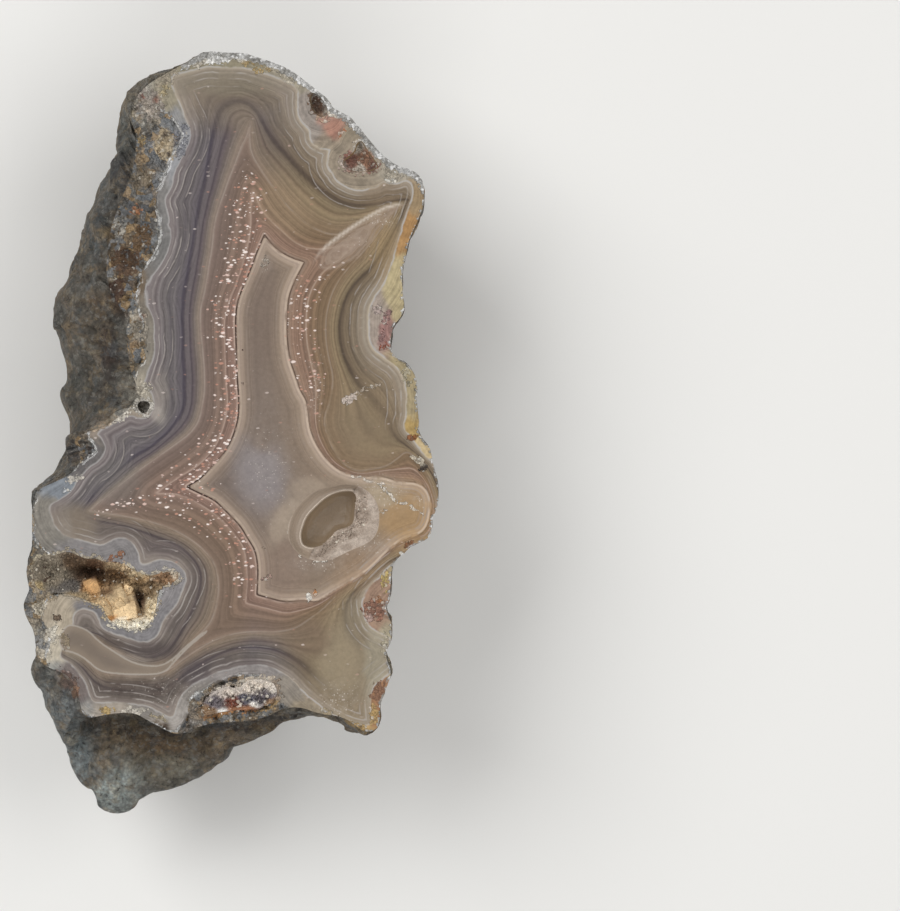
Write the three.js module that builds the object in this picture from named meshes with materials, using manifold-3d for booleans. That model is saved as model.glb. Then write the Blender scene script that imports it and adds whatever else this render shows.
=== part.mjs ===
import * as THREE from 'three';
import Module from 'manifold-3d';

// Agate specimen: half of a sawn nodule, lying rind down with the sawn face level on top.
// Millimetres, +Z up. The origin is the middle of the bounding box, on the ground.

// Overall sizes
const HEIGHT = 24.0; // ground to the sawn face
const SHOULDER_DEPTH = 9.2; // how far the widest line lies below the face where rind shows beyond it
const STEEP_DEPTH = 2.6; // the same where the face reaches the widest line
const LEDGE_CUT = 0.9; // undercut below the lower edge of the face
const FOOT_HALF_WIDTH = 6.8;
const FOOT_HALF_LENGTH = 12.0;
const FOOT_MIDDLE = [-1.6, -0.6];
const SPINDLE = [0.46, 3.77]; // the line that every ring of the stone goes round
const ANGLES = 136;
const SHOULDER_RINGS = 6;
const UNDER_RINGS = 9;
const LUMP_SIZE = 6.5;
const LUMP_HEIGHT = 1.3;
const GRAIN_SIZE = 2.6;
const GRAIN_HEIGHT = 0.45;
const GAP = 0.3; // clearance between a crust and the stone under it

// Hollows in the sawn face
const HOLLOW_MIDDLE = [-12.6, -15.9];
const HOLLOW_DEPTH = 6.4;
const HOLLOW_SHALLOW = 1.9;
const VUG_MIDDLE = [10.4, -9.0];
const VUG_DEPTH = 5.0;
const VUG_STEP = 1.15; // depth of the dished rim round the vug
const POCKET_MIDDLE = [1.1, -28.1];
const POCKET_DEPTH = 2.1;
const PORE = [-9.3, 3.05];
const PORE_RADIUS = 0.66;
const PORE_DEPTH = 1.8;
const CRUST = 0.75; // thickness of a crust between its crystals

// Widest line of the stone, seen from above
const GIRTH = [
  [-2.7, 41.05], [-0.1, 40.8], [1.5, 40.8], [2.6, 40.4], [4.2, 39.9], [5.5, 39.4], [6.3, 39.0], [7.4, 38.2],
  [8.5, 37.4], [9.3, 36.7], [10.3, 36.0], [10.8, 35.0], [11.9, 34.4], [12.7, 34.0], [13.6, 33.0], [14.3, 32.1],
  [14.9, 31.4], [15.7, 30.4], [16.8, 29.4], [17.9, 28.7], [19.1, 28.4], [20.0, 27.9], [20.6, 26.9], [20.6, 24.6],
  [20.2, 23.5], [19.6, 22.1], [19.0, 20.8], [18.7, 19.2], [18.3, 17.6], [18.3, 15.5], [18.5, 13.9], [18.5, 13.4],
  [18.1, 12.5], [17.4, 11.8], [17.1, 10.7], [17.0, 9.3], [17.4, 8.5], [18.0, 8.0], [18.6, 7.8], [19.2, 7.2],
  [19.7, 6.3], [19.9, 5.4], [19.8, 3.8], [20.0, 2.2], [20.1, 1.1], [19.9, 0.6], [20.5, -0.5], [21.3, -1.4],
  [21.5, -2.6], [21.8, -3.9], [22.1, -5.1], [22.2, -6.4], [22.0, -7.8], [21.5, -9.0], [21.5, -10.1], [21.1, -11.0],
  [20.2, -11.4], [19.1, -11.9], [18.6, -12.6], [18.0, -12.9], [17.3, -13.8], [17.1, -14.7], [17.0, -17.6],
  [16.5, -18.4], [16.8, -19.2], [17.2, -20.2], [17.1, -22.2], [16.6, -22.9], [16.6, -23.8], [17.0, -24.8],
  [17.1, -25.6], [16.8, -26.5], [16.3, -27.7], [15.9, -28.8], [15.9, -30.4], [15.7, -31.2], [14.9, -32.0],
  [13.8, -32.1], [12.7, -32.0], [11.7, -31.3], [10.6, -30.4], [9.7, -30.1], [8.5, -30.3], [7.1, -30.6],
  [5.8, -30.7], [4.4, -31.8], [3.3, -32.4], [2.1, -33.0], [0.8, -33.5], [-0.3, -34.0], [-0.5, -34.3],
  [-1.1, -35.3], [-2.2, -35.8], [-3.3, -36.8], [-4.3, -37.5], [-5.9, -38.0], [-7.0, -38.4], [-8.4, -38.6],
  [-9.7, -39.3], [-10.7, -40.3], [-11.8, -40.9], [-12.9, -41.05], [-13.9, -40.8], [-14.8, -40.2], [-15.2, -39.1],
  [-15.7, -38.4], [-16.5, -37.8], [-17.1, -36.9], [-17.7, -35.7], [-18.2, -34.3], [-18.4, -33.0], [-19.0, -31.8],
  [-19.6, -30.4], [-20.2, -29.1], [-20.3, -27.4], [-20.9, -27.0], [-21.3, -25.9], [-21.1, -24.5], [-20.8, -23.4],
  [-20.9, -21.8], [-21.0, -20.8], [-21.4, -20.2], [-21.9, -19.2], [-22.2, -18.3], [-21.9, -17.4], [-21.5, -16.5],
  [-21.7, -15.4], [-21.9, -14.4], [-21.5, -13.1], [-21.1, -12.2], [-21.1, -11.2], [-21.3, -9.6], [-21.3, -6.4],
  [-21.1, -5.5], [-19.9, -4.9], [-19.2, -4.0], [-18.9, -3.1], [-18.2, -2.1], [-17.7, -1.0], [-17.7, 1.1],
  [-18.0, 2.2], [-18.5, 3.2], [-18.9, 4.1], [-18.9, 5.0], [-18.2, 5.7], [-18.2, 7.0], [-18.4, 8.4], [-18.7, 9.4],
  [-18.9, 10.5], [-19.3, 11.4], [-19.6, 12.8], [-19.6, 13.9], [-19.3, 15.2], [-18.4, 16.5], [-18.0, 17.4],
  [-17.7, 18.7], [-17.3, 19.6], [-16.6, 20.8], [-16.1, 22.4], [-15.9, 23.8], [-15.0, 25.1], [-14.5, 27.0],
  [-13.9, 27.8], [-13.4, 28.8], [-13.1, 30.2], [-12.5, 31.0], [-12.7, 31.8], [-12.7, 33.1], [-12.3, 34.5],
  [-11.9, 35.5], [-11.6, 36.3], [-11.0, 37.2], [-9.9, 38.1], [-8.4, 38.6], [-7.5, 39.1], [-5.6, 39.4],
  [-4.3, 40.0], [-3.4, 40.9],
];

// Edge of the sawn face down the left side and along the bottom. Elsewhere the face reaches the widest line.
const FACE_LEFT = [
  [-4.6, 39.8], [-6.0, 39.1], [-7.2, 38.4], [-8.3, 37.8], [-9.2, 37.1], [-10.0, 36.2], [-10.5, 35.0], [-10.6, 33.8],
  [-10.3, 32.6], [-10.1, 31.2], [-10.2, 30.0], [-10.4, 28.6], [-10.9, 27.0], [-11.6, 25.4], [-12.2, 24.0],
  [-12.8, 22.2], [-13.1, 20.0], [-13.3, 17.8], [-13.1, 16.0], [-12.3, 14.4], [-11.4, 13.1], [-11.0, 12.0],
  [-11.2, 10.8], [-11.1, 9.6], [-10.9, 8.4], [-10.8, 7.2], [-10.4, 6.2], [-10.0, 5.2], [-10.1, 4.2], [-10.5, 3.3],
  [-11.3, 2.4], [-12.3, 1.7], [-13.4, 0.9], [-14.8, 0.5], [-16.1, 0.1], [-16.8, -0.6], [-16.2, -1.6],
  [-16.0, -2.6], [-16.6, -3.7], [-17.6, -4.5], [-18.8, -5.0], [-20.1, -5.6], [-21.0, -6.2],
];
const FACE_BOTTOM = [
  [-20.7, -23.6], [-20.1, -24.4], [-19.2, -24.9], [-18.2, -25.2], [-17.2, -25.8], [-16.5, -27.0], [-16.1, -28.4],
  [-15.8, -29.8], [-15.0, -30.2], [-13.8, -29.9], [-12.6, -29.7], [-11.2, -29.6], [-10.1, -29.7], [-9.2, -30.2],
  [-8.2, -30.8], [-7.0, -31.4], [-6.0, -31.9], [-4.8, -31.8], [-3.8, -31.2], [-2.6, -30.9], [-1.4, -30.7],
  [0.0, -30.6], [1.5, -30.5], [3.0, -30.3], [4.2, -29.9], [5.2, -29.3], [6.4, -29.0], [7.8, -29.1], [8.8, -29.5],
  [10.0, -29.8], [11.2, -29.9], [12.4, -30.3], [13.2, -30.9], [14.0, -31.5], [14.9, -31.7],
];

// Mouths of the hollows
const HOLLOW = [
  [-21.0, -13.5], [-20.3, -13.0], [-19.6, -12.8], [-18.7, -12.8], [-18.0, -12.5], [-17.2, -12.4], [-16.2, -12.9],
  [-15.3, -13.2], [-14.4, -13.1], [-13.6, -13.5], [-12.6, -13.5], [-11.7, -13.7], [-11.0, -13.9], [-10.4, -14.4],
  [-9.6, -14.8], [-8.6, -15.0], [-7.6, -14.8], [-6.6, -14.5], [-5.9, -14.6], [-5.5, -15.0], [-5.8, -15.5],
  [-6.6, -15.9], [-7.5, -16.2], [-7.9, -16.8], [-7.8, -17.5], [-7.9, -18.3], [-8.1, -19.0], [-8.4, -19.7],
  [-8.8, -20.4], [-9.6, -20.6], [-10.6, -20.7], [-11.6, -20.5], [-12.3, -20.1], [-12.9, -19.8], [-13.4, -19.0],
  [-13.6, -18.4], [-14.1, -18.0], [-14.8, -17.9], [-15.4, -17.6], [-16.0, -17.4], [-16.8, -17.1], [-17.6, -16.9],
  [-18.4, -16.8], [-19.2, -16.8], [-20.1, -16.6], [-20.8, -16.2], [-21.0, -15.5], [-21.2, -14.5],
];
const VUG_RIM = [
  [10.6, -5.5], [12.2, -5.2], [13.8, -5.4], [15.0, -6.2], [15.8, -7.5], [15.9, -9.2], [15.6, -10.6], [14.6, -11.6],
  [13.0, -12.2], [11.6, -12.9], [10.4, -13.4], [8.8, -13.4], [7.3, -12.8], [6.3, -11.6], [6.05, -10.4],
  [6.3, -9.0], [7.0, -7.7], [7.9, -6.7], [9.0, -5.9],
];
const VUG = [
  [11.1, -6.1], [12.0, -5.9], [12.9, -5.9], [13.4, -6.2], [13.5, -7.0], [13.3, -8.0], [13.3, -8.8], [13.1, -9.5],
  [12.6, -9.9], [11.8, -10.1], [11.2, -10.4], [10.8, -10.9], [10.3, -11.3], [9.9, -11.8], [9.3, -12.0],
  [8.7, -12.1], [8.1, -12.0], [7.6, -11.7], [7.4, -11.1], [7.4, -10.4], [7.6, -9.7], [7.9, -8.9], [8.3, -8.3],
  [8.9, -7.7], [9.6, -7.0], [10.3, -6.5],
];
const POCKET = [
  [-3.0, -29.8], [-3.1, -29.2], [-2.8, -28.4], [-2.1, -27.6], [-1.2, -27.0], [-0.3, -26.8], [0.5, -27.0],
  [1.1, -26.8], [1.7, -26.2], [2.5, -25.95], [3.4, -26.0], [4.3, -26.2], [4.9, -26.8], [5.0, -27.6],
  [4.7, -28.2], [4.1, -28.7], [3.0, -29.1], [1.8, -29.3], [0.2, -29.4], [-1.4, -29.6], [-2.4, -29.9],
];
const NOTCH_TOP = [
  [8.6, 36.7], [9.4, 36.3], [10.0, 35.6], [10.4, 34.8], [10.3, 34.1], [9.6, 33.9], [8.9, 34.4], [8.5, 35.2],
  [8.4, 36.0],
];
const NOTCH_RIGHT = [
  [13.4, 31.2], [14.0, 31.5], [14.4, 30.8], [14.9, 30.0], [15.6, 29.1], [15.8, 28.5], [14.8, 28.1], [13.4, 28.0],
  [12.2, 28.4], [11.8, 29.2], [12.6, 29.8], [13.2, 30.3],
];

// Knobs of the rind, and pits where the rise is below zero: middle, radius, rise
const KNOBS = [
  { at: [-12.9, 9.4, 21.8], radius: 2.7, rise: -2.3 },
  { at: [-13.4, 13.0, 21.5], radius: 1.8, rise: -1.0 },
  { at: [-13.6, 5.6, 20.6], radius: 2.2, rise: -1.3 },
  { at: [-17.6, -2.4, 21.0], radius: 1.9, rise: -1.4 },
  { at: [-18.6, 13.6, 15.0], radius: 3.2, rise: 0.9 },
  { at: [-15.5, 20.0, 15.5], radius: 2.6, rise: 0.8 },
  { at: [-11.0, 33.0, 16.0], radius: 3.0, rise: 0.8 },
  { at: [-13.0, -35.5, 17.5], radius: 3.4, rise: 1.1 },
  { at: [-8.0, -34.5, 18.0], radius: 2.4, rise: -1.1 },
  { at: [-17.4, -31.0, 19.0], radius: 2.2, rise: 0.8 },
  { at: [-1.5, -33.0, 17.0], radius: 2.2, rise: 0.7 },
  { at: [-13.0, -21.0, 6.0], radius: 4.6, rise: 1.5 },
  { at: [11.0, -20.0, 6.5], radius: 4.2, rise: 1.3 },
  { at: [13.5, 8.0, 8.0], radius: 4.4, rise: -1.4 },
  { at: [10.0, 24.0, 6.0], radius: 4.8, rise: 1.5 },
  { at: [-10.0, 22.0, 5.5], radius: 4.2, rise: -1.2 },
  { at: [-15.0, 2.0, 8.5], radius: 4.0, rise: 1.2 },
  { at: [1.0, -30.0, 7.0], radius: 4.4, rise: 1.3 },
  { at: [0.0, 34.5, 9.0], radius: 4.2, rise: 1.1 },
  { at: [18.0, -6.0, 12.0], radius: 3.4, rise: -1.0 },
];

// Crystals of the large hollow: middle, half sizes, turns about Z and X
const BLOCKS = [
  { at: [-11.8, -18.3, 20.8], half: [1.5, 1.35, 1.5], turn: 0.35, tip: 0.22 },
  { at: [-10.2, -19.4, 20.9], half: [1.2, 0.8, 1.3], turn: -0.2, tip: -0.25 },
  { at: [-9.4, -17.6, 21.0], half: [1.0, 1.1, 1.2], turn: 0.7, tip: 0.3 },
  { at: [-12.6, -16.9, 20.2], half: [0.9, 0.7, 1.0], turn: 0.9, tip: -0.35 },
  { at: [-10.4, -16.4, 20.3], half: [1.0, 0.7, 1.0], turn: 0.15, tip: 0.4 },
  { at: [-15.1, -16.2, 20.1], half: [0.8, 0.75, 1.2], turn: 0.5, tip: 0.15 },
  { at: [-8.9, -19.2, 21.3], half: [0.55, 0.7, 1.0], turn: 0.25, tip: 0.3 },
  { at: [-16.6, -15.4, 20.9], half: [0.7, 0.6, 0.7], turn: 1.1, tip: 0.2 },
  { at: [-7.2, -15.3, 22.2], half: [0.6, 0.35, 0.6], turn: 0.2, tip: 0.3 },
];

const STONE_COLOUR = 0x8a7a6c;
const BUFF_COLOUR = 0xd9bd8f;
const FROST_COLOUR = 0xcbb9a8;
const DRUSE_COLOUR = 0x9b94a0;

const wasm = await Module();
wasm.setup();

// Waves bent by other waves, from about -0.5 to 0.5, that repeat nowhere near
function noise(x, y, z, size) {
  const u = (x * 3.1) / size + 2.3;
  const v = (y * 3.1) / size + 0.7;
  const w = (z * 3.1) / size + 1.9;
  const first = Math.sin(u + 1.9 * Math.sin(0.53 * v + 0.71 * w));
  const second = Math.sin(0.93 * v + 1.7 * Math.sin(0.61 * w - 0.47 * u) + 1.3);
  const third = Math.sin(0.87 * w + 1.8 * Math.sin(0.57 * u + 0.49 * v) + 2.9);
  return (first + second + third) / 5;
}

function ramp(low, high, value) {
  const t = Math.min(1, Math.max(0, (value - low) / (high - low)));
  return t * t * (3 - 2 * t);
}

function mix(from, to, share) {
  return from + (to - from) * share;
}

// How far an outline lies from a middle point in one direction
function reach(outline, middle, angle) {
  const dx = Math.cos(angle);
  const dy = Math.sin(angle);
  let far = 0;
  for (let i = 0; i < outline.length; i += 1) {
    const from = outline[i];
    const to = outline[(i + 1) % outline.length];
    const wx = from[0] - middle[0];
    const wy = from[1] - middle[1];
    const ex = to[0] - from[0];
    const ey = to[1] - from[1];
    const cross = dx * ey - dy * ex;
    const along = (wx * ey - wy * ex) / cross;
    const share = (wx * dy - wy * dx) / cross;
    if (share >= 0 && share <= 1 && along > far) {
      far = along;
    }
  }
  return far;
}

// Directions spaced so that the steps along the outlines are about even
function evenAngles(outlines, middle, count) {
  const fine = 1800;
  const length = [0];
  let before = null;
  for (let i = 0; i <= fine; i += 1) {
    const angle = (i / fine) * Math.PI * 2;
    const now = outlines.map((outline) => {
      const far = reach(outline, middle, angle);
      return [far * Math.cos(angle), far * Math.sin(angle)];
    });
    if (before !== null) {
      const steps = now.map((p, k) => Math.min(1.2, Math.hypot(p[0] - before[k][0], p[1] - before[k][1])));
      length.push(length[length.length - 1] + Math.max(...steps));
    }
    before = now;
  }
  const total = length[length.length - 1];
  const angles = [];
  let at = 0;
  for (let i = 0; i < count; i += 1) {
    const wanted = (total * i) / count;
    while (length[at + 1] < wanted) {
      at += 1;
    }
    const share = (wanted - length[at]) / Math.max(1e-9, length[at + 1] - length[at]);
    angles.push(((at + share) / fine) * Math.PI * 2);
  }
  return angles;
}

// A closed solid from rings of points, each ring going round the same way, from top to bottom
function loft(rings) {
  const count = rings[0].length;
  const points = rings.flat();
  const faces = [];
  const middleOf = (ring) => {
    const sum = ring.reduce((a, p) => [a[0] + p[0], a[1] + p[1], a[2] + p[2]], [0, 0, 0]);
    return sum.map((v) => v / count);
  };
  points.push(middleOf(rings[0]));
  points.push(middleOf(rings[rings.length - 1]));
  const top = points.length - 2;
  const bottom = points.length - 1;
  const last = (rings.length - 1) * count;
  for (let i = 0; i < count; i += 1) {
    const next = (i + 1) % count;
    faces.push(top, i, next);
    faces.push(bottom, last + next, last + i);
    for (let k = 0; k < rings.length - 1; k += 1) {
      const upper = k * count;
      const lower = upper + count;
      faces.push(upper + i, lower + i, lower + next);
      faces.push(upper + i, lower + next, upper + next);
    }
  }
  return solidOf(points, faces);
}

function solidOf(points, faces) {
  const mesh = new wasm.Mesh({
    numProp: 3,
    vertProperties: new Float32Array(points.flat()),
    triVerts: new Uint32Array(faces),
  });
  return new wasm.Manifold(mesh);
}

function faceOutline() {
  const start = GIRTH.findIndex((p) => p[0] === -21.3 && p[1] === -9.6);
  const end = GIRTH.findIndex((p) => p[0] === -20.9 && p[1] === -21.8);
  const lower = GIRTH.slice(end, start + 1);
  const corner = GIRTH.findIndex((p) => p[0] === 15.7 && p[1] === -31.2);
  const right = GIRTH.slice(0, corner + 1);
  return [...right, ...FACE_BOTTOM.slice().reverse(), ...lower, ...FACE_LEFT.slice().reverse()];
}

// The stone: rings from the edge of the face out to the widest line, then under to the flat foot
function buildStone(face) {
  const angles = evenAngles([face, GIRTH], SPINDLE, ANGLES);
  const columns = angles.map((angle) => {
    const edge = reach(face, SPINDLE, angle);
    const girth = Math.max(edge, reach(GIRTH, SPINDLE, angle));
    const soft = softened(angle, 0.3);
    const round = softened(angle, 0.75);
    const footX = FOOT_MIDDLE[0] + FOOT_HALF_WIDTH * Math.cos(angle) * (1 + 0.09 * Math.sin(3 * angle + 0.8));
    const footY = FOOT_MIDDLE[1] + FOOT_HALF_LENGTH * Math.sin(angle) * (1 + 0.07 * Math.sin(4 * angle + 2.1));
    const edgeX = SPINDLE[0] + edge * Math.cos(angle);
    const edgeY = SPINDLE[1] + edge * Math.sin(angle);
    const beyond = ramp(0.2, 2.2, girth - edge);
    const ledge = ramp(-28.4, -29.3, edgeY) * ramp(-16.4, -15.0, edgeX) * ramp(12.5, 9.0, edgeX);
    return { angle, edge, girth, soft, round, footX, footY, beyond, ledge };
  });
  const rings = [];
  rings.push(columns.map((c) => ringPoint(c, c.edge, HEIGHT)));
  for (let k = 1; k <= SHOULDER_RINGS; k += 1) {
    const share = k / SHOULDER_RINGS;
    rings.push(columns.map((c) => shoulderPoint(c, share)));
  }
  for (let k = 1; k < UNDER_RINGS; k += 1) {
    rings.push(columns.map((c) => underPoint(c, k / UNDER_RINGS)));
  }
  rings.push(columns.map((c) => [c.footX, c.footY, 0]));
  return loft(rings);
}

// The widest line with its small bays and bumps evened out
function softened(angle, spread) {
  let sum = 0;
  let weight = 0;
  for (let k = -12; k <= 12; k += 1) {
    const share = Math.cos((k / 13) * (Math.PI / 2));
    sum += share * reach(GIRTH, SPINDLE, angle + (k / 12) * spread);
    weight += share;
  }
  return sum / weight;
}

// Total rise of the knobs and pits at a place
function knobRise(x, y, z) {
  let rise = 0;
  for (const knob of KNOBS) {
    const away = Math.hypot(x - knob.at[0], y - knob.at[1], z - knob.at[2]) / knob.radius;
    rise += knob.rise * Math.exp(-away * away);
  }
  return rise;
}

function ringPoint(column, far, z) {
  return [SPINDLE[0] + far * Math.cos(column.angle), SPINDLE[1] + far * Math.sin(column.angle), z];
}

function girthDepth(column) {
  const [x, y] = ringPoint(column, column.girth, 0);
  const depth = mix(STEEP_DEPTH, SHOULDER_DEPTH, column.beyond);
  return depth * (1 + 0.35 * noise(x, y, 3, 9));
}

function shoulderPoint(column, share) {
  const turn = (share * Math.PI) / 2;
  const depth = girthDepth(column);
  const out = mix(Math.sin(turn), ramp(0.3, 1, share), column.ledge);
  const down = mix(1 - Math.cos(turn), share ** 0.75, column.ledge);
  const undercut = LEDGE_CUT * column.ledge * Math.sin(Math.PI * Math.min(1, share * 2.4));
  let far = mix(column.edge, column.girth, out) - undercut;
  const z = HEIGHT - depth * down;
  const [x, y] = ringPoint(column, far, z);
  const rough = Math.sin(Math.PI * share) ** 0.7 * column.beyond;
  const knob = knobRise(x, y, z);
  far += rough * (LUMP_HEIGHT * noise(x, y, z, LUMP_SIZE) + GRAIN_HEIGHT * noise(x, y, z, GRAIN_SIZE) + 0.5 * knob);
  far = Math.min(far, column.girth);
  const fall = rough * (0.9 * Math.abs(noise(x + 30, y, z, GRAIN_SIZE)) - 0.8 * knob);
  return ringPoint(column, far, Math.min(HEIGHT - 0.2, z - fall));
}

function underPoint(column, share) {
  const turn = (share * Math.PI) / 2;
  const start = HEIGHT - girthDepth(column);
  const even = mix(column.soft, column.round, ramp(0.3, 0.8, share));
  const wide = Math.min(column.girth, mix(column.girth, even, ramp(0, 0.45, share)));
  const [wideX, wideY] = ringPoint(column, wide, 0);
  const out = Math.cos(turn) ** 0.82;
  const x = mix(column.footX, wideX, out);
  const y = mix(column.footY, wideY, out);
  const z = start * (1 - Math.sin(turn) ** 1.12);
  const rough = Math.sin(Math.PI * share) ** 0.6;
  const wave = LUMP_HEIGHT * 1.6 * noise(x, y, z, LUMP_SIZE) + GRAIN_HEIGHT * 1.4 * noise(x, y, z, GRAIN_SIZE);
  const knob = knobRise(x, y, z);
  const lump = wave + 0.7 * knob;
  const away = Math.hypot(x - SPINDLE[0], y - SPINDLE[1]);
  const limit = (column.girth - 0.15) / away;
  const grow = Math.min(limit, 1 + (rough * lump) / away);
  const lift = rough * (0.8 * noise(x, y + 40, z, LUMP_SIZE) - 0.6 * knob * ramp(0.2, 0.7, share));
  return [SPINDLE[0] + (x - SPINDLE[0]) * grow, SPINDLE[1] + (y - SPINDLE[1]) * grow, Math.max(0.25, z + lift)];
}

// A bowl below the face: rings shrink towards the middle while they go down
function bowl(outline, middle, count, depthAt, inset, lift, top) {
  const angles = evenAngles([outline], middle, count);
  const shares = [1, 1, 0.95, 0.82, 0.58, 0.24];
  const falls = [0, 0, 0.4, 0.72, 0.92, 1];
  const rings = shares.map((share, k) =>
    angles.map((angle) => {
      const far = (reach(outline, middle, angle) - inset) * share;
      const x = middle[0] + far * Math.cos(angle);
      const y = middle[1] + far * Math.sin(angle);
      const rough = k > 1 ? 1 : 0;
      const depth = Math.max(0, depthAt(x, y) * falls[k] - lift * (k > 1 ? 1 : 0)) + 0.25 * rough * noise(x, y, 0, 1.9);
      const z = k === 0 ? top : HEIGHT - Math.max(k === 1 ? 0 : 0.12, depth);
      return [x, y, z];
    }),
  );
  if (top <= HEIGHT) {
    rings.splice(0, 1);
    rings[0] = rings[0].map((p) => [p[0], p[1], top]);
  }
  return loft(rings);
}

function hollowDepth(x, y) {
  const across = (x + 13.6) / 4.4;
  const along = (y + 16.3) / 3.4;
  return HOLLOW_SHALLOW + (HOLLOW_DEPTH - HOLLOW_SHALLOW) * Math.exp(-across * across - along * along);
}

function vugDepth() {
  return VUG_DEPTH;
}

function pocketDepth(x, y) {
  return POCKET_DEPTH * (1 + 0.3 * noise(x, y, 5, 2.2));
}

function notchDepth(x, y) {
  return 0.95 * (1 + 0.5 * noise(x, y, 9, 1.5));
}

// The dished rim: a flat-floored step all round the vug
function dish(outline, middle, count, depth, inset, top) {
  const angles = evenAngles([outline], middle, count);
  const ring = (cut, z) =>
    angles.map((angle) => {
      const far = reach(outline, middle, angle) - cut;
      return [middle[0] + far * Math.cos(angle), middle[1] + far * Math.sin(angle), z];
    });
  const knee = Math.min(top - 0.04, HEIGHT - depth * 0.2);
  return loft([ring(inset, top), ring(inset, knee), ring(inset + 0.35, HEIGHT - depth)]);
}

function pore() {
  const ring = (radius, z) =>
    Array.from({ length: 14 }, (_, i) => {
      const angle = (i / 14) * Math.PI * 2;
      const far = radius * (1 + 0.08 * Math.sin(3 * angle));
      return [PORE[0] + far * Math.cos(angle), PORE[1] + far * Math.sin(angle), z];
    });
  const radii = [PORE_RADIUS, PORE_RADIUS, PORE_RADIUS * 0.9, PORE_RADIUS * 0.5];
  const heights = [HEIGHT + 1, HEIGHT, HEIGHT - PORE_DEPTH * 0.7, HEIGHT - PORE_DEPTH];
  return loft(radii.map((radius, k) => ring(radius, heights[k])));
}

// A box with flat faces, turned about Z and tipped about X
function block({ at, half, turn, tip }) {
  const shape = new THREE.BoxGeometry(half[0] * 2, half[1] * 2, half[2] * 2);
  const place = new THREE.Matrix4().makeTranslation(...at);
  place.multiply(new THREE.Matrix4().makeRotationZ(turn));
  place.multiply(new THREE.Matrix4().makeRotationX(tip));
  const corners = [];
  for (let i = 0; i < 8; i += 1) {
    const sx = i & 1 ? 1 : -1;
    const sy = i & 2 ? 1 : -1;
    const sz = i & 4 ? 1 : -1;
    const corner = new THREE.Vector3(sx * half[0], sy * half[1], sz * half[2] * (1 - 0.12 * sx)).applyMatrix4(place);
    corners.push([corner.x, corner.y, corner.z]);
  }
  shape.dispose();
  const faces = [0, 2, 1, 1, 2, 3, 4, 5, 6, 5, 7, 6, 0, 1, 4, 1, 5, 4, 2, 6, 3, 3, 6, 7, 0, 4, 2, 2, 4, 6, 1, 3, 5, 3, 7, 5];
  return solidOf(corners, faces);
}

// A six-sided quartz point standing on a crust
function quartz(x, y, z, radius, rise, lean, spin) {
  const ring = (scale, height) =>
    Array.from({ length: 6 }, (_, i) => {
      const angle = spin + (i / 6) * Math.PI * 2;
      const shift = (height / rise) * lean;
      const px = x + radius * scale * Math.cos(angle) + shift * Math.cos(spin);
      const py = y + radius * scale * Math.sin(angle) + shift * Math.sin(spin);
      return [px, py, z + height];
    });
  return loft([ring(0.12, rise), ring(1, rise * 0.35), ring(1.25, -rise * 0.5)]);
}

function fuse(solids) {
  return solids.reduce((whole, solid) => whole.add(solid));
}

// Buff, blocky crystals that line the large hollow
function buildHollowCrust() {
  const room = bowl(HOLLOW, HOLLOW_MIDDLE, 42, hollowDepth, GAP + 0.15, GAP + 0.1, HEIGHT - 0.35);
  const open = bowl(HOLLOW, HOLLOW_MIDDLE, 42, hollowDepth, GAP + CRUST, GAP + CRUST, HEIGHT + 1);
  const lining = room.subtract(open);
  const blocks = fuse(BLOCKS.map(block)).intersect(room);
  return lining.add(blocks);
}

// Frosty quartz on the right and lower side of the dished rim
function buildVugDruse() {
  const room = dish(VUG_RIM, VUG_MIDDLE, 36, VUG_STEP - GAP, GAP + 0.05, HEIGHT - 0.05);
  const bed = dish(VUG_RIM, VUG_MIDDLE, 36, VUG_STEP - GAP, GAP + 0.05, HEIGHT - 0.42);
  const mouth = dish(VUG, VUG_MIDDLE, 28, VUG_STEP + 2, -GAP - 0.2, HEIGHT + 1);
  const points = [];
  for (let i = 0; i < 14; i += 1) {
    const angle = mix(-1.7, 0.4, (i + 0.5) / 14);
    const inner = reach(VUG, VUG_MIDDLE, angle) + 0.8;
    const outer = reach(VUG_RIM, VUG_MIDDLE, angle) - 0.75;
    const far = mix(inner, Math.max(inner, outer), (i * 0.618) % 1);
    const x = VUG_MIDDLE[0] + far * Math.cos(angle);
    const y = VUG_MIDDLE[1] + far * Math.sin(angle);
    points.push(quartz(x, y, HEIGHT - 0.55, 0.46, 0.5, 0.12, i * 1.3));
  }
  const side = [[-1.85, 14], [-1.0, 14], [0.0, 14], [0.55, 14]];
  const fan = [[0.4, -0.2]];
  for (const [angle, far] of side) {
    fan.push([far * Math.cos(angle), far * Math.sin(angle)]);
  }
  const ring = (z) => fan.map((p) => [VUG_MIDDLE[0] + p[0], VUG_MIDDLE[1] + p[1], z]);
  const wedge = loft([ring(HEIGHT + 2), ring(HEIGHT - 4)]);
  return bed.add(fuse(points)).intersect(room).subtract(mouth).intersect(wedge);
}

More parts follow.
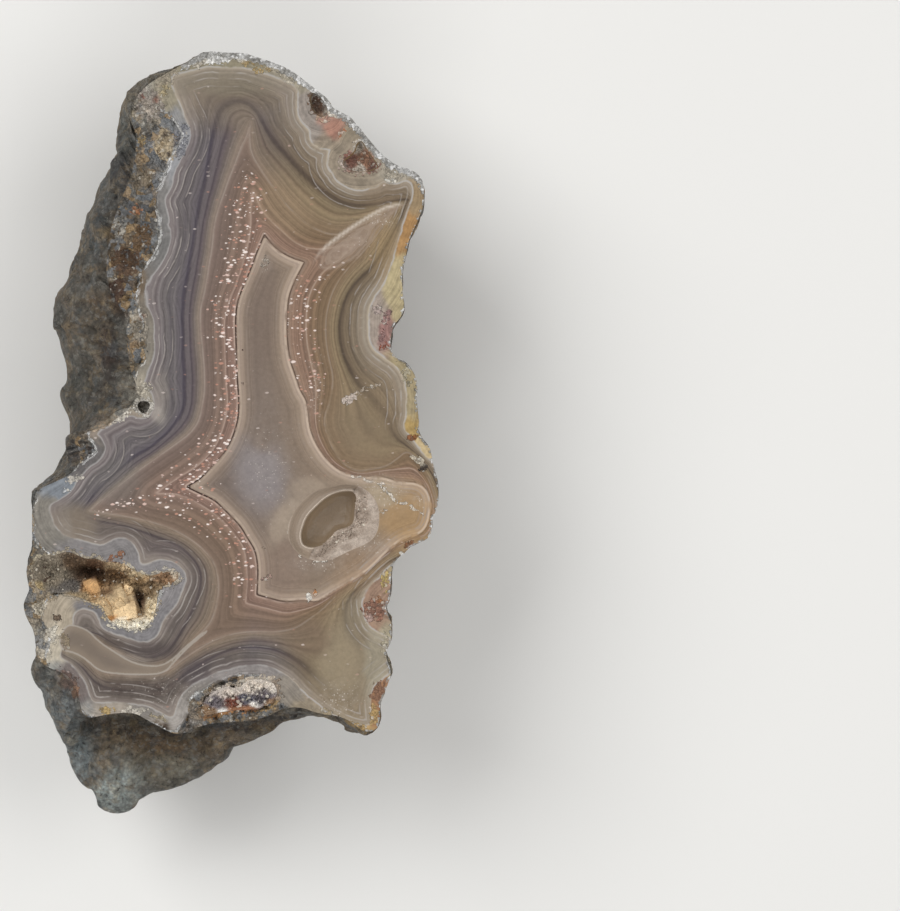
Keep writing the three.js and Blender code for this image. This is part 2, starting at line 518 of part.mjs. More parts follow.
// Glittering quartz points in the pocket at the lower edge
function buildLedgeDruse() {
  const room = bowl(POCKET, POCKET_MIDDLE, 32, pocketDepth, GAP + 0.1, GAP + 0.1, HEIGHT - 0.1);
  const open = bowl(POCKET, POCKET_MIDDLE, 32, pocketDepth, GAP + 0.55, GAP + 0.6, HEIGHT + 1);
  const points = [];
  for (let i = 0; i < 17; i += 1) {
    const angle = i * 2.39996;
    const share = Math.sqrt((i + 0.5) / 17) * 0.86;
    const far = reach(POCKET, POCKET_MIDDLE, angle) * share;
    const x = POCKET_MIDDLE[0] + far * Math.cos(angle);
    const y = POCKET_MIDDLE[1] + far * Math.sin(angle);
    const rise = 0.85 + 0.35 * Math.sin(i * 1.7);
    points.push(quartz(x, y, HEIGHT - POCKET_DEPTH + 0.6, 0.56 + 0.14 * Math.sin(i), rise, 0.2, i * 0.9));
  }
  return room.subtract(open).add(fuse(points).intersect(room));
}

function toMesh(name, solid, colour, roughness) {
  const mesh = solid.getMesh();
  const shape = new THREE.BufferGeometry();
  const points = [];
  for (let i = 0; i < mesh.vertProperties.length; i += mesh.numProp) {
    points.push(mesh.vertProperties[i], mesh.vertProperties[i + 1], mesh.vertProperties[i + 2]);
  }
  shape.setAttribute('position', new THREE.Float32BufferAttribute(points, 3));
  shape.setIndex(Array.from(mesh.triVerts));
  shape.computeVertexNormals();
  const made = new THREE.Mesh(shape, new THREE.MeshStandardMaterial({ color: colour, roughness, metalness: 0 }));
  made.name = name;
  return made;
}

function build() {
  const face = faceOutline();
  const cuts = [
    bowl(HOLLOW, HOLLOW_MIDDLE, 56, hollowDepth, 0, 0, HEIGHT + 1),
    dish(VUG_RIM, VUG_MIDDLE, 44, VUG_STEP, 0, HEIGHT + 1),
    bowl(VUG, VUG_MIDDLE, 32, vugDepth, 0, 0, HEIGHT + 1),
    bowl(POCKET, POCKET_MIDDLE, 34, pocketDepth, 0, 0, HEIGHT + 1),
    bowl(NOTCH_TOP, [9.4, 35.1], 14, notchDepth, 0, 0, HEIGHT + 1),
    bowl(NOTCH_RIGHT, [13.8, 29.4], 18, notchDepth, 0, 0, HEIGHT + 1),
    pore(),
  ];
  const stone = cuts.reduce((whole, cut) => whole.subtract(cut), buildStone(face));
  const part = new THREE.Group();
  part.name = 'agate_specimen';
  part.add(toMesh('agate_half', stone, STONE_COLOUR, 0.35));
  part.add(toMesh('hollow_crust', buildHollowCrust(), BUFF_COLOUR, 0.6));
  part.add(toMesh('vug_druse', buildVugDruse(), FROST_COLOUR, 0.5));
  part.add(toMesh('ledge_druse', buildLedgeDruse(), DRUSE_COLOUR, 0.4));
  return part;
}

export default build();
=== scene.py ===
import math
import bmesh
import bpy
import numpy as np
from mathutils import Euler, Matrix, Vector
from mathutils.geometry import delaunay_2d_cdt
from mathutils.kdtree import KDTree
from random import Random


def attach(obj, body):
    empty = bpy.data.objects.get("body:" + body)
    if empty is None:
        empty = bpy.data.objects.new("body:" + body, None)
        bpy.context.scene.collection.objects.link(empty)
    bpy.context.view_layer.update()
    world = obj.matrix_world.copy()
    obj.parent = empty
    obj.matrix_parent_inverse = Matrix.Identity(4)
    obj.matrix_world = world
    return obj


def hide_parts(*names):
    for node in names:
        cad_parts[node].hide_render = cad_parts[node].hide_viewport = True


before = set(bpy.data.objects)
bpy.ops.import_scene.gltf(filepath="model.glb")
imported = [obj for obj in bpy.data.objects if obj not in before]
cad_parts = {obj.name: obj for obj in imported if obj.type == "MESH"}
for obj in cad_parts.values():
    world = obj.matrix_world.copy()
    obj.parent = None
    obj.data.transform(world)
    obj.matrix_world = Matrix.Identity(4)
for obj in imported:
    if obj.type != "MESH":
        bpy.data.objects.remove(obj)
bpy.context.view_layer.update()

# Agate specimen: a sawn half nodule. Outlines are in millimetres, in the part's own frame, seen from above

# Widest line of the stone; the edge of the face follows it down the right side
girth = [
    (-2.7, 41.05), (-0.1, 40.8), (1.5, 40.8), (2.6, 40.4), (4.2, 39.9), (5.5, 39.4), (6.3, 39.0), (7.4, 38.2),
    (8.5, 37.4), (9.3, 36.7), (10.3, 36.0), (10.8, 35.0), (11.9, 34.4), (12.7, 34.0), (13.6, 33.0),
    (14.3, 32.1), (14.9, 31.4), (15.7, 30.4), (16.8, 29.4), (17.9, 28.7), (19.1, 28.4), (20.0, 27.9),
    (20.6, 26.9), (20.6, 24.6), (20.2, 23.5), (19.6, 22.1), (19.0, 20.8), (18.7, 19.2), (18.3, 17.6),
    (18.3, 15.5), (18.5, 13.9), (18.5, 13.4), (18.1, 12.5), (17.4, 11.8), (17.1, 10.7), (17.0, 9.3),
    (17.4, 8.5), (18.0, 8.0), (18.6, 7.8), (19.2, 7.2), (19.7, 6.3), (19.9, 5.4), (19.8, 3.8), (20.0, 2.2),
    (20.1, 1.1), (19.9, 0.6), (20.5, -0.5), (21.3, -1.4), (21.5, -2.6), (21.8, -3.9), (22.1, -5.1),
    (22.2, -6.4), (22.0, -7.8), (21.5, -9.0), (21.5, -10.1), (21.1, -11.0), (20.2, -11.4), (19.1, -11.9),
    (18.6, -12.6), (18.0, -12.9), (17.3, -13.8), (17.1, -14.7), (17.0, -17.6), (16.5, -18.4), (16.8, -19.2),
    (17.2, -20.2), (17.1, -22.2), (16.6, -22.9), (16.6, -23.8), (17.0, -24.8), (17.1, -25.6), (16.8, -26.5),
    (16.3, -27.7), (15.9, -28.8), (15.9, -30.4), (15.7, -31.2), (14.9, -32.0), (13.8, -32.1), (12.7, -32.0),
    (11.7, -31.3), (10.6, -30.4), (9.7, -30.1), (8.5, -30.3), (7.1, -30.6), (5.8, -30.7), (4.4, -31.8),
    (3.3, -32.4), (2.1, -33.0), (0.8, -33.5), (-0.3, -34.0), (-0.5, -34.3), (-1.1, -35.3), (-2.2, -35.8),
    (-3.3, -36.8), (-4.3, -37.5), (-5.9, -38.0), (-7.0, -38.4), (-8.4, -38.6), (-9.7, -39.3), (-10.7, -40.3),
    (-11.8, -40.9), (-12.9, -41.05), (-13.9, -40.8), (-14.8, -40.2), (-15.2, -39.1), (-15.7, -38.4),
    (-16.5, -37.8), (-17.1, -36.9), (-17.7, -35.7), (-18.2, -34.3), (-18.4, -33.0), (-19.0, -31.8),
    (-19.6, -30.4), (-20.2, -29.1), (-20.3, -27.4), (-20.9, -27.0), (-21.3, -25.9), (-21.1, -24.5),
    (-20.8, -23.4), (-20.9, -21.8), (-21.0, -20.8), (-21.4, -20.2), (-21.9, -19.2), (-22.2, -18.3),
    (-21.9, -17.4), (-21.5, -16.5), (-21.7, -15.4), (-21.9, -14.4), (-21.5, -13.1), (-21.1, -12.2),
    (-21.1, -11.2), (-21.3, -9.6), (-21.3, -6.4), (-21.1, -5.5), (-19.9, -4.9), (-19.2, -4.0), (-18.9, -3.1),
    (-18.2, -2.1), (-17.7, -1.0), (-17.7, 1.1), (-18.0, 2.2), (-18.5, 3.2), (-18.9, 4.1), (-18.9, 5.0),
    (-18.2, 5.7), (-18.2, 7.0), (-18.4, 8.4), (-18.7, 9.4), (-18.9, 10.5), (-19.3, 11.4), (-19.6, 12.8),
    (-19.6, 13.9), (-19.3, 15.2), (-18.4, 16.5), (-18.0, 17.4), (-17.7, 18.7), (-17.3, 19.6), (-16.6, 20.8),
    (-16.1, 22.4), (-15.9, 23.8), (-15.0, 25.1), (-14.5, 27.0), (-13.9, 27.8), (-13.4, 28.8), (-13.1, 30.2),
    (-12.5, 31.0), (-12.7, 31.8), (-12.7, 33.1), (-12.3, 34.5), (-11.9, 35.5), (-11.6, 36.3), (-11.0, 37.2),
    (-9.9, 38.1), (-8.4, 38.6), (-7.5, 39.1), (-5.6, 39.4), (-4.3, 40.0), (-3.4, 40.9),
]

# Edge of the sawn face where rind shows beyond it: down the left side, and along the bottom
faceLeft = [
    (-4.6, 39.8), (-6.0, 39.1), (-7.2, 38.4), (-8.3, 37.8), (-9.2, 37.1), (-10.0, 36.2), (-10.5, 35.0),
    (-10.6, 33.8), (-10.3, 32.6), (-10.1, 31.2), (-10.2, 30.0), (-10.4, 28.6), (-10.9, 27.0), (-11.6, 25.4),
    (-12.2, 24.0), (-12.8, 22.2), (-13.1, 20.0), (-13.3, 17.8), (-13.1, 16.0), (-12.3, 14.4), (-11.4, 13.1),
    (-11.0, 12.0), (-11.2, 10.8), (-11.1, 9.6), (-10.9, 8.4), (-10.8, 7.2), (-10.4, 6.2), (-10.0, 5.2),
    (-10.1, 4.2), (-10.5, 3.3), (-11.3, 2.4), (-12.3, 1.7), (-13.4, 0.9), (-14.8, 0.5), (-16.1, 0.1),
    (-16.8, -0.6), (-16.2, -1.6), (-16.0, -2.6), (-16.6, -3.7), (-17.6, -4.5), (-18.8, -5.0), (-20.1, -5.6),
    (-21.0, -6.2),
]
faceBottom = [
    (-20.7, -23.6), (-20.1, -24.4), (-19.2, -24.9), (-18.2, -25.2), (-17.2, -25.8), (-16.5, -27.0),
    (-16.1, -28.4), (-15.8, -29.8), (-15.0, -30.2), (-13.8, -29.9), (-12.6, -29.7), (-11.2, -29.6),
    (-10.1, -29.7), (-9.2, -30.2), (-8.2, -30.8), (-7.0, -31.4), (-6.0, -31.9), (-4.8, -31.8), (-3.8, -31.2),
    (-2.6, -30.9), (-1.4, -30.7), (0.0, -30.6), (1.5, -30.5), (3.0, -30.3), (4.2, -29.9), (5.2, -29.3),
    (6.4, -29.0), (7.8, -29.1), (8.8, -29.5), (10.0, -29.8), (11.2, -29.9), (12.4, -30.3), (13.2, -30.9),
    (14.0, -31.5), (14.9, -31.7),
]

# Mouths of the hollows in the face
hollowRim = [
    (-21.0, -13.5), (-20.3, -13.0), (-19.6, -12.8), (-18.7, -12.8), (-18.0, -12.5), (-17.2, -12.4),
    (-16.2, -12.9), (-15.3, -13.2), (-14.4, -13.1), (-13.6, -13.5), (-12.6, -13.5), (-11.7, -13.7),
    (-11.0, -13.9), (-10.4, -14.4), (-9.6, -14.8), (-8.6, -15.0), (-7.6, -14.8), (-6.6, -14.5), (-5.9, -14.6),
    (-5.5, -15.0), (-5.8, -15.5), (-6.6, -15.9), (-7.5, -16.2), (-7.9, -16.8), (-7.8, -17.5), (-7.9, -18.3),
    (-8.1, -19.0), (-8.4, -19.7), (-8.8, -20.4), (-9.6, -20.6), (-10.6, -20.7), (-11.6, -20.5),
    (-12.3, -20.1), (-12.9, -19.8), (-13.4, -19.0), (-13.6, -18.4), (-14.1, -18.0), (-14.8, -17.9),
    (-15.4, -17.6), (-16.0, -17.4), (-16.8, -17.1), (-17.6, -16.9), (-18.4, -16.8), (-19.2, -16.8),
    (-20.1, -16.6), (-20.8, -16.2), (-21.0, -15.5), (-21.2, -14.5),
]
vugRim = [
    (10.6, -5.5), (12.2, -5.2), (13.8, -5.4), (15.0, -6.2), (15.8, -7.5), (15.9, -9.2), (15.6, -10.6),
    (14.6, -11.6), (13.0, -12.2), (11.6, -12.9), (10.4, -13.4), (8.8, -13.4), (7.3, -12.8), (6.3, -11.6),
    (6.05, -10.4), (6.3, -9.0), (7.0, -7.7), (7.9, -6.7), (9.0, -5.9),
]
vugMouth = [
    (11.1, -6.1), (12.0, -5.9), (12.9, -5.9), (13.4, -6.2), (13.5, -7.0), (13.3, -8.0), (13.3, -8.8),
    (13.1, -9.5), (12.6, -9.9), (11.8, -10.1), (11.2, -10.4), (10.8, -10.9), (10.3, -11.3), (9.9, -11.8),
    (9.3, -12.0), (8.7, -12.1), (8.1, -12.0), (7.6, -11.7), (7.4, -11.1), (7.4, -10.4), (7.6, -9.7),
    (7.9, -8.9), (8.3, -8.3), (8.9, -7.7), (9.6, -7.0), (10.3, -6.5),
]
pocketRim = [
    (-3.0, -29.8), (-3.1, -29.2), (-2.8, -28.4), (-2.1, -27.6), (-1.2, -27.0), (-0.3, -26.8), (0.5, -27.0),
    (1.1, -26.8), (1.7, -26.2), (2.5, -25.95), (3.4, -26.0), (4.3, -26.2), (4.9, -26.8), (5.0, -27.6),
    (4.7, -28.2), (4.1, -28.7), (3.0, -29.1), (1.8, -29.3), (0.2, -29.4), (-1.4, -29.6), (-2.4, -29.9),
]
notchTop = [
    (8.6, 36.7), (9.4, 36.3), (10.0, 35.6), (10.4, 34.8), (10.3, 34.1), (9.6, 33.9), (8.9, 34.4), (8.5, 35.2),
    (8.4, 36.0),
]
notchRight = [
    (13.4, 31.2), (14.0, 31.5), (14.4, 30.8), (14.9, 30.0), (15.6, 29.1), (15.8, 28.5), (14.8, 28.1),
    (13.4, 28.0), (12.2, 28.4), (11.8, 29.2), (12.6, 29.8), (13.2, 30.3),
]

# Growth lines of the agate, from the wall inwards to the core. A point named twice keeps its corner.
wallLine = [
    (-7.0, 38.4), (-4.5, 38.9), (-2.7, 39.5), (-0.5, 39.3), (1.5, 39.4), (3.0, 38.8), (4.5, 38.5),
    (6.0, 37.9), (7.6, 37.0), (7.3, 35.8), (7.4, 34.4), (8.0, 33.3), (8.8, 32.6), (8.7, 31.7), (9.3, 30.9),
    (10.3, 30.8), (11.1, 30.8), (10.5, 29.5), (10.6, 28.4), (11.3, 27.4), (12.6, 26.6), (14.0, 26.3),
    (15.4, 26.6), (16.3, 27.2), (17.5, 27.0), (18.8, 27.5), (19.8, 26.8), (19.6, 25.0), (18.6, 22.6),
    (17.9, 20.4), (17.4, 18.4), (16.5, 16.0), (15.0, 14.0), (14.9, 12.5), (14.8, 10.8), (15.2, 9.5),
    (16.2, 8.5), (17.5, 7.8), (18.6, 6.4), (18.9, 4.0), (18.9, 2.0), (18.5, 0.8), (19.6, -0.4), (20.5, -1.8),
    (22.4, -3.5), (23.4, -6.5), (23.0, -9.5), (22.0, -11.4), (19.2, -12.7), (17.2, -13.9), (16.0, -15.0),
    (14.6, -16.5), (14.0, -18.0), (14.3, -19.5), (15.2, -20.6), (16.6, -21.2), (18.2, -22.4), (18.0, -24.8),
    (16.4, -26.0), (15.2, -27.0), (15.0, -29.0), (15.4, -31.2), (13.0, -31.0), (10.3, -29.6), (9.0, -28.6),
    (7.7, -27.6), (6.5, -26.2), (5.3, -25.4), (4.2, -24.8), (2.6, -24.6), (1.2, -24.7), (-0.5, -25.1),
    (-2.0, -25.6), (-3.3, -26.4), (-4.4, -27.0), (-5.2, -28.0), (-5.6, -29.0), (-5.9, -30.1), (-6.5, -30.3),
    (-7.3, -29.9), (-8.3, -29.3), (-9.5, -28.9), (-11.5, -28.7), (-13.0, -28.6), (-14.8, -28.6),
    (-15.2, -27.8), (-15.6, -26.5), (-16.5, -25.2), (-17.4, -24.3), (-18.5, -23.8), (-18.0, -22.5),
    (-16.8, -20.0), (-17.0, -19.4), (-16.4, -18.5), (-15.4, -18.4), (-14.4, -18.7), (-14.0, -19.4),
    (-13.8, -20.3), (-13.0, -20.9), (-11.8, -21.2), (-10.5, -21.6), (-9.5, -22.0), (-8.6, -21.9),
    (-7.9, -21.2), (-7.4, -20.0), (-6.8, -19.0), (-6.0, -18.2), (-5.6, -17.2), (-5.2, -16.3), (-4.8, -15.4),
    (-5.0, -14.6), (-5.7, -13.9), (-6.7, -13.4), (-7.8, -13.4), (-8.8, -13.9), (-9.5, -14.0), (-9.9, -13.6),
    (-10.0, -12.6), (-10.5, -11.6), (-11.4, -11.0), (-12.5, -11.2), (-13.6, -11.9), (-14.6, -11.8),
    (-16.0, -11.3), (-17.2, -11.1), (-18.3, -10.5), (-19.2, -9.0), (-19.6, -7.4), (-18.5, -6.8),
    (-17.0, -5.8), (-16.2, -4.4), (-15.2, -3.2), (-14.0, -2.6), (-13.4, -1.5), (-14.0, -0.3), (-14.6, 0.2),
    (-12.3, 1.6), (-10.6, 2.5), (-9.7, 1.9), (-8.7, 2.2), (-8.3, 3.2), (-8.7, 4.6), (-9.6, 5.4), (-9.2, 6.6),
    (-8.7, 7.8), (-8.3, 9.4), (-8.4, 11.8), (-8.8, 13.2), (-9.2, 14.5), (-8.9, 16.0), (-8.5, 17.3),
    (-7.8, 18.2), (-7.1, 19.4), (-6.5, 21.2), (-6.7, 23.0), (-7.5, 25.1), (-6.5, 26.7), (-5.9, 28.8),
    (-4.6, 31.0), (-4.3, 32.6), (-5.4, 34.7),
]
darkLine = [
    (-1.7, 33.6), (-0.9, 35.2), (0.8, 35.8), (2.4, 35.2), (3.5, 33.0), (4.8, 31.2), (6.5, 29.4), (8.5, 27.3),
    (10.4, 25.8), (12.6, 24.6), (15.0, 24.6), (19.1, 25.3), (19.1, 25.3), (17.6, 21.8), (15.5, 18.2),
    (13.5, 16.5), (12.2, 14.6), (11.7, 12.7), (11.6, 11.0), (11.9, 9.0), (12.6, 7.2), (13.6, 5.6),
    (15.4, 4.0), (17.0, 2.0), (17.4, 0.0), (18.6, -1.0), (20.8, -2.8), (22.6, -6.5), (22.2, -9.8),
    (20.6, -11.9), (18.0, -12.9), (16.2, -14.0), (14.9, -15.2), (13.2, -16.6), (12.2, -18.2), (12.6, -20.4),
    (13.8, -22.4), (14.2, -25.0), (13.6, -27.4), (12.9, -29.2), (12.9, -29.2), (10.6, -27.6), (8.8, -25.8),
    (7.0, -24.0), (5.0, -22.9), (3.0, -22.5), (1.0, -22.6), (-1.0, -23.2), (-3.0, -24.2), (-5.0, -25.6),
    (-7.0, -27.2), (-9.6, -27.4), (-13.0, -27.2), (-14.6, -26.4), (-16.0, -24.5), (-18.3, -23.2),
    (-18.3, -23.2), (-16.6, -21.0), (-14.4, -21.0), (-12.6, -22.2), (-10.6, -23.2), (-8.6, -23.9),
    (-6.6, -23.0), (-5.2, -21.0), (-4.2, -18.9), (-3.3, -16.6), (-3.1, -14.4), (-4.6, -12.4), (-6.6, -11.3),
    (-8.6, -10.6), (-11.4, -9.6), (-13.9, -9.2), (-16.0, -8.4), (-16.0, -8.4), (-14.6, -6.4), (-12.9, -4.6),
    (-10.7, -2.6), (-8.6, -1.4), (-6.3, 0.6), (-4.9, 2.7), (-4.9, 5.9), (-5.1, 10.2), (-5.1, 14.4),
    (-4.3, 18.7), (-3.3, 25.1), (-2.7, 27.2),
]
paleLine = [
    (2.1, 33.4), (2.1, 33.4), (2.0, 31.6), (2.2, 30.0), (3.5, 27.8), (5.0, 25.8), (6.5, 23.9), (8.5, 22.2),
    (11.0, 21.2), (14.0, 22.0), (17.6, 24.2), (17.6, 24.2), (14.6, 20.0), (12.6, 18.0), (10.9, 15.6),
    (10.2, 13.0), (10.1, 10.6), (10.4, 8.4), (11.0, 6.2), (10.6, 3.6), (9.8, 1.5), (10.6, -0.9), (11.3, -2.3),
    (12.4, -3.4), (13.7, -3.9), (15.0, -3.6), (16.5, -3.4), (17.8, -2.5), (18.8, -1.6), (20.0, -2.6),
    (22.0, -6.5), (21.6, -10.0), (19.8, -11.4), (18.0, -12.0), (16.5, -12.8), (15.3, -13.8), (14.2, -15.0),
    (12.5, -16.0), (11.0, -17.3), (9.8, -18.6), (8.4, -19.6), (7.0, -20.6), (5.0, -21.0), (2.5, -20.9),
    (0.0, -21.2), (-2.5, -22.2), (-4.6, -23.6), (-7.0, -25.4), (-10.2, -25.6), (-13.4, -25.4), (-14.8, -24.5),
    (-16.1, -23.4), (-18.0, -22.9), (-18.0, -22.9), (-16.5, -21.9), (-15.0, -21.4), (-13.6, -22.2),
    (-12.0, -23.1), (-11.0, -24.0), (-9.8, -24.6), (-8.6, -24.9), (-7.4, -24.8), (-6.5, -24.5), (-5.0, -23.1),
    (-3.8, -21.7), (-2.4, -20.4), (-1.5, -18.5), (-1.2, -16.0), (-1.6, -13.8), (-3.0, -12.0), (-5.5, -10.3),
    (-8.5, -9.2), (-11.5, -8.6), (-15.2, -8.1), (-15.2, -8.1), (-12.6, -5.9), (-9.4, -3.4), (-5.9, -1.0),
    (-3.8, 0.6), (-3.0, 2.7), (-2.7, 5.9), (-3.1, 10.2), (-3.3, 13.4), (-2.7, 15.5), (-2.0, 19.8),
    (-1.7, 23.0), (-0.6, 26.2), (1.0, 30.4), (1.7, 31.8),
]
thinLine = [
    (2.4, 26.2), (2.4, 26.2), (3.3, 24.0), (4.7, 22.4), (7.4, 20.1), (9.5, 19.8), (11.1, 20.1), (13.6, 20.6),
    (13.6, 20.6), (11.4, 18.6), (9.6, 17.2), (8.4, 15.2), (8.0, 12.6), (8.1, 10.0), (8.6, 7.6), (9.2, 5.2),
    (9.0, 2.8), (9.1, 0.6), (9.8, -1.2), (10.8, -2.7), (12.3, -3.75), (14.0, -4.15), (16.0, -3.8),
    (17.9, -3.6), (19.8, -3.4), (21.8, -6.6), (21.4, -10.4), (19.4, -11.1), (17.6, -12.0), (16.0, -13.2),
    (14.6, -14.6), (12.6, -15.9), (11.0, -17.0), (9.5, -18.0), (8.2, -18.5), (7.0, -18.8), (5.8, -19.0),
    (3.7, -18.4), (1.6, -17.9), (1.6, -17.9), (1.8, -16.0), (1.8, -14.4), (1.6, -12.6), (1.0, -11.2),
    (-1.1, -8.8), (-2.7, -7.7), (-4.3, -6.7), (-5.9, -6.2), (-8.0, -6.2), (-8.0, -6.2), (-5.4, -4.4),
    (-3.3, -3.2), (-1.7, -1.4), (-0.9, 0.4), (-0.4, 2.2), (-0.3, 3.8), (-0.5, 5.9), (-0.6, 9.6), (-0.7, 12.3),
    (-0.1, 14.4), (1.0, 17.1), (1.8, 19.8), (2.2, 22.4), (2.1, 24.6),
]
coreLine = [
    (3.6, 21.4), (3.6, 21.4), (4.7, 20.0), (6.3, 19.0), (7.9, 18.5), (7.9, 18.5), (6.6, 16.0), (6.1, 14.4),
    (6.0, 11.2), (6.1, 9.6), (6.3, 8.0), (6.9, 6.4), (7.4, 4.8), (8.2, 3.6), (8.4, 1.0), (8.9, -0.5),
    (9.8, -2.0), (11.0, -3.3), (12.2, -4.0), (14.0, -4.4), (16.0, -4.3), (17.9, -4.9), (20.4, -5.0),
    (21.6, -6.8), (21.0, -10.4), (18.6, -11.0), (17.0, -12.2), (14.9, -14.4), (12.7, -15.8), (11.1, -16.7),
    (9.2, -17.9), (7.9, -17.6), (5.8, -17.8), (4.2, -17.4), (2.8, -17.0), (2.8, -17.0), (2.9, -15.4),
    (2.9, -13.8), (2.6, -12.2), (1.8, -11.0), (1.0, -9.6), (-0.6, -8.0), (-1.7, -6.9), (-3.3, -6.2),
    (-4.7, -5.5), (-4.7, -5.5), (-3.3, -4.7), (-2.0, -3.4), (-0.6, -1.8), (0.2, -0.3), (0.8, 1.6), (0.9, 3.8),
    (0.7, 5.9), (0.6, 9.1), (0.5, 12.3), (0.7, 14.2), (1.3, 15.8), (2.1, 17.6), (2.9, 19.8),
]
lensLine = [
    (-16.9, -20.2), (-15.2, -20.8), (-14.1, -22.0), (-12.6, -23.0), (-10.7, -24.2), (-8.9, -24.65),
    (-7.3, -24.6), (-6.0, -23.75), (-4.7, -22.45), (-3.2, -21.25), (-2.3, -20.75), (-3.2, -21.5),
    (-4.7, -22.75), (-6.0, -24.15), (-7.1, -25.4), (-9.4, -25.55), (-12.6, -25.4), (-14.1, -25.1),
    (-15.4, -23.9), (-16.7, -23.15), (-18.1, -22.9), (-18.3, -21.6), (-17.6, -20.4),
]
wedgeLine = [
    (8.2, 17.6), (8.9, 18.8), (10.0, 20.1), (11.8, 21.5), (13.6, 22.7), (15.4, 23.8), (16.8, 24.5),
    (19.4, 24.8), (18.3, 24.3), (17.6, 23.4), (16.3, 22.3), (15.4, 21.5), (14.6, 19.9), (13.6, 19.1),
    (11.8, 18.0), (9.6, 16.9),
]


def tint(r, g, b):
    line = [v / 255 / 12.92 if v <= 10 else ((v / 255 + 0.055) / 1.055) ** 2.4 for v in (r, g, b)]
    return (*line, 1.0)


def ramp(low, high, value):
    t = np.clip((value - low) / (high - low), 0, 1)
    return t * t * (3 - 2 * t)


def mix(a, b, share):
    return a + (b - a) * share


# Waves bent by other waves, from about -0.5 to 0.5: the large lumps of the stone
def wave(x, y, z, size):
    u, v, w = x * 3.1 / size + 2.3, y * 3.1 / size + 0.7, z * 3.1 / size + 1.9
    first = np.sin(u + 1.9 * np.sin(0.53 * v + 0.71 * w))
    second = np.sin(0.93 * v + 1.7 * np.sin(0.61 * w - 0.47 * u) + 1.3)
    third = np.sin(0.87 * w + 1.8 * np.sin(0.57 * u + 0.49 * v) + 2.9)
    return (first + second + third) / 5


def lattice(i, j, k):
    n = (i * 374761393 + j * 668265263 + k * 2147483647 + 1013904223) & 0xFFFFFFFF
    n = ((n ^ (n >> 13)) * 1274126177) & 0xFFFFFFFF
    return ((n ^ (n >> 16)) & 0xFFFF) / 65535.0


# Smooth random lumps of one size, from 0 to 1
def lumps(x, y, z, size):
    p = [np.asarray(v, float) / size + 57.3 for v in (x, y, z)]
    cell = [np.floor(v).astype(np.int64) for v in p]
    f = [v - c for v, c in zip(p, cell)]
    f = [v * v * (3 - 2 * v) for v in f]
    total = 0
    for a in (0, 1):
        for b in (0, 1):
            for c in (0, 1):
                share = (f[0] if a else 1 - f[0]) * (f[1] if b else 1 - f[1]) * (f[2] if c else 1 - f[2])
                total = total + share * lattice(cell[0] + a, cell[1] + b, cell[2] + c)
    return total


def grain(x, y, z, size, octaves=3):
    total, weight, amount = 0, 0, 1.0
    for step in range(octaves):
        total = total + amount * lumps(x + 13.7 * step, y - 5.1 * step, z, size / 2 ** step)
        weight += amount
        amount *= 0.55
    return total / weight


# Rounded bulges side by side, 1 at their tops and 0 in the creases
def bulges(x, y, size):
    best = np.full(np.shape(x), 99.0)
    i, j = np.floor(x / size).astype(np.int64), np.floor(y / size).astype(np.int64)
    for a in (-1, 0, 1):
        for b in (-1, 0, 1):
            cx = (i + a + 0.9 * lattice(i + a, j + b, 3 + 0 * i)) * size
            cy = (j + b + 0.9 * lattice(i + a, j + b, 8 + 0 * i)) * size
            best = np.minimum(best, np.hypot(x - cx, y - cy))
    return np.sqrt(np.clip(1 - (best / (size * 0.9)) ** 2, 0, 1))


# Depth inside the agate's wall, which bulges inwards in lobes
def wallAt(x, y):
    wall = depthIn(wallCurve, x, y)
    near = np.exp(-np.abs(wall) / 1.8)
    amount = 0.22 + 0.33 * ramp(-4, -7, x) * ramp(0, 4, y) + 0.40 * ramp(20, 26, y) * ramp(0, 5, x)
    amount = amount * (1 - 0.7 * ramp(36, 39, y))
    return wall - near * (amount * (bulges(x, y, 2.3) - 0.55) + 0.2 * (bulges(x + 7, y, 0.95) - 0.5))


def rounded(points, times=2):
    p = np.array(points, float)
    for _ in range(times):
        q = np.roll(p, -1, axis=0)
        p = np.stack([0.75 * p + 0.25 * q, 0.25 * p + 0.75 * q], axis=1).reshape(-1, 2)
    return p


# How far an outline lies from a middle point, one distance for each direction
def reach(outline, middle, angles):
    w = outline - np.array(middle)
    e = np.roll(outline, -1, axis=0) - outline
    dx, dy = np.cos(angles)[:, None], np.sin(angles)[:, None]
    cross = dx * e[:, 1] - dy * e[:, 0]
    cross = np.where(np.abs(cross) < 1e-12, 1e-12, cross)
    along = (w[:, 0] * e[:, 1] - w[:, 1] * e[:, 0]) / cross
    share = (w[:, 0] * dy - w[:, 1] * dx) / cross
    return np.where((share >= 0) & (share <= 1), along, 0).max(axis=1)


# Directions spaced so that the steps along the outlines are about even
def evenAngles(outlines, middle, count):
    fine = np.linspace(0, 2 * math.pi, 3601)
    steps = np.zeros(3600)
    for outline in outlines:
        far = reach(outline, middle, fine)
        x, y = far * np.cos(fine), far * np.sin(fine)
        steps = np.maximum(steps, np.minimum(0.6, np.hypot(np.diff(x), np.diff(y))))
    length = np.concatenate([[0], np.cumsum(steps)])
    return np.interp(length[-1] * np.arange(count) / count, length, fine)


def inside(outline, x, y):
    result = np.zeros(len(x), bool)
    a, b = outline, np.roll(outline, -1, axis=0)
    for i in range(len(a)):
        if a[i, 1] == b[i, 1]:
            continue
        crossing = (a[i, 1] > y) != (b[i, 1] > y)
        result ^= crossing & (x < (b[i, 0] - a[i, 0]) * (y - a[i, 1]) / (b[i, 1] - a[i, 1]) + a[i, 0])
    return result


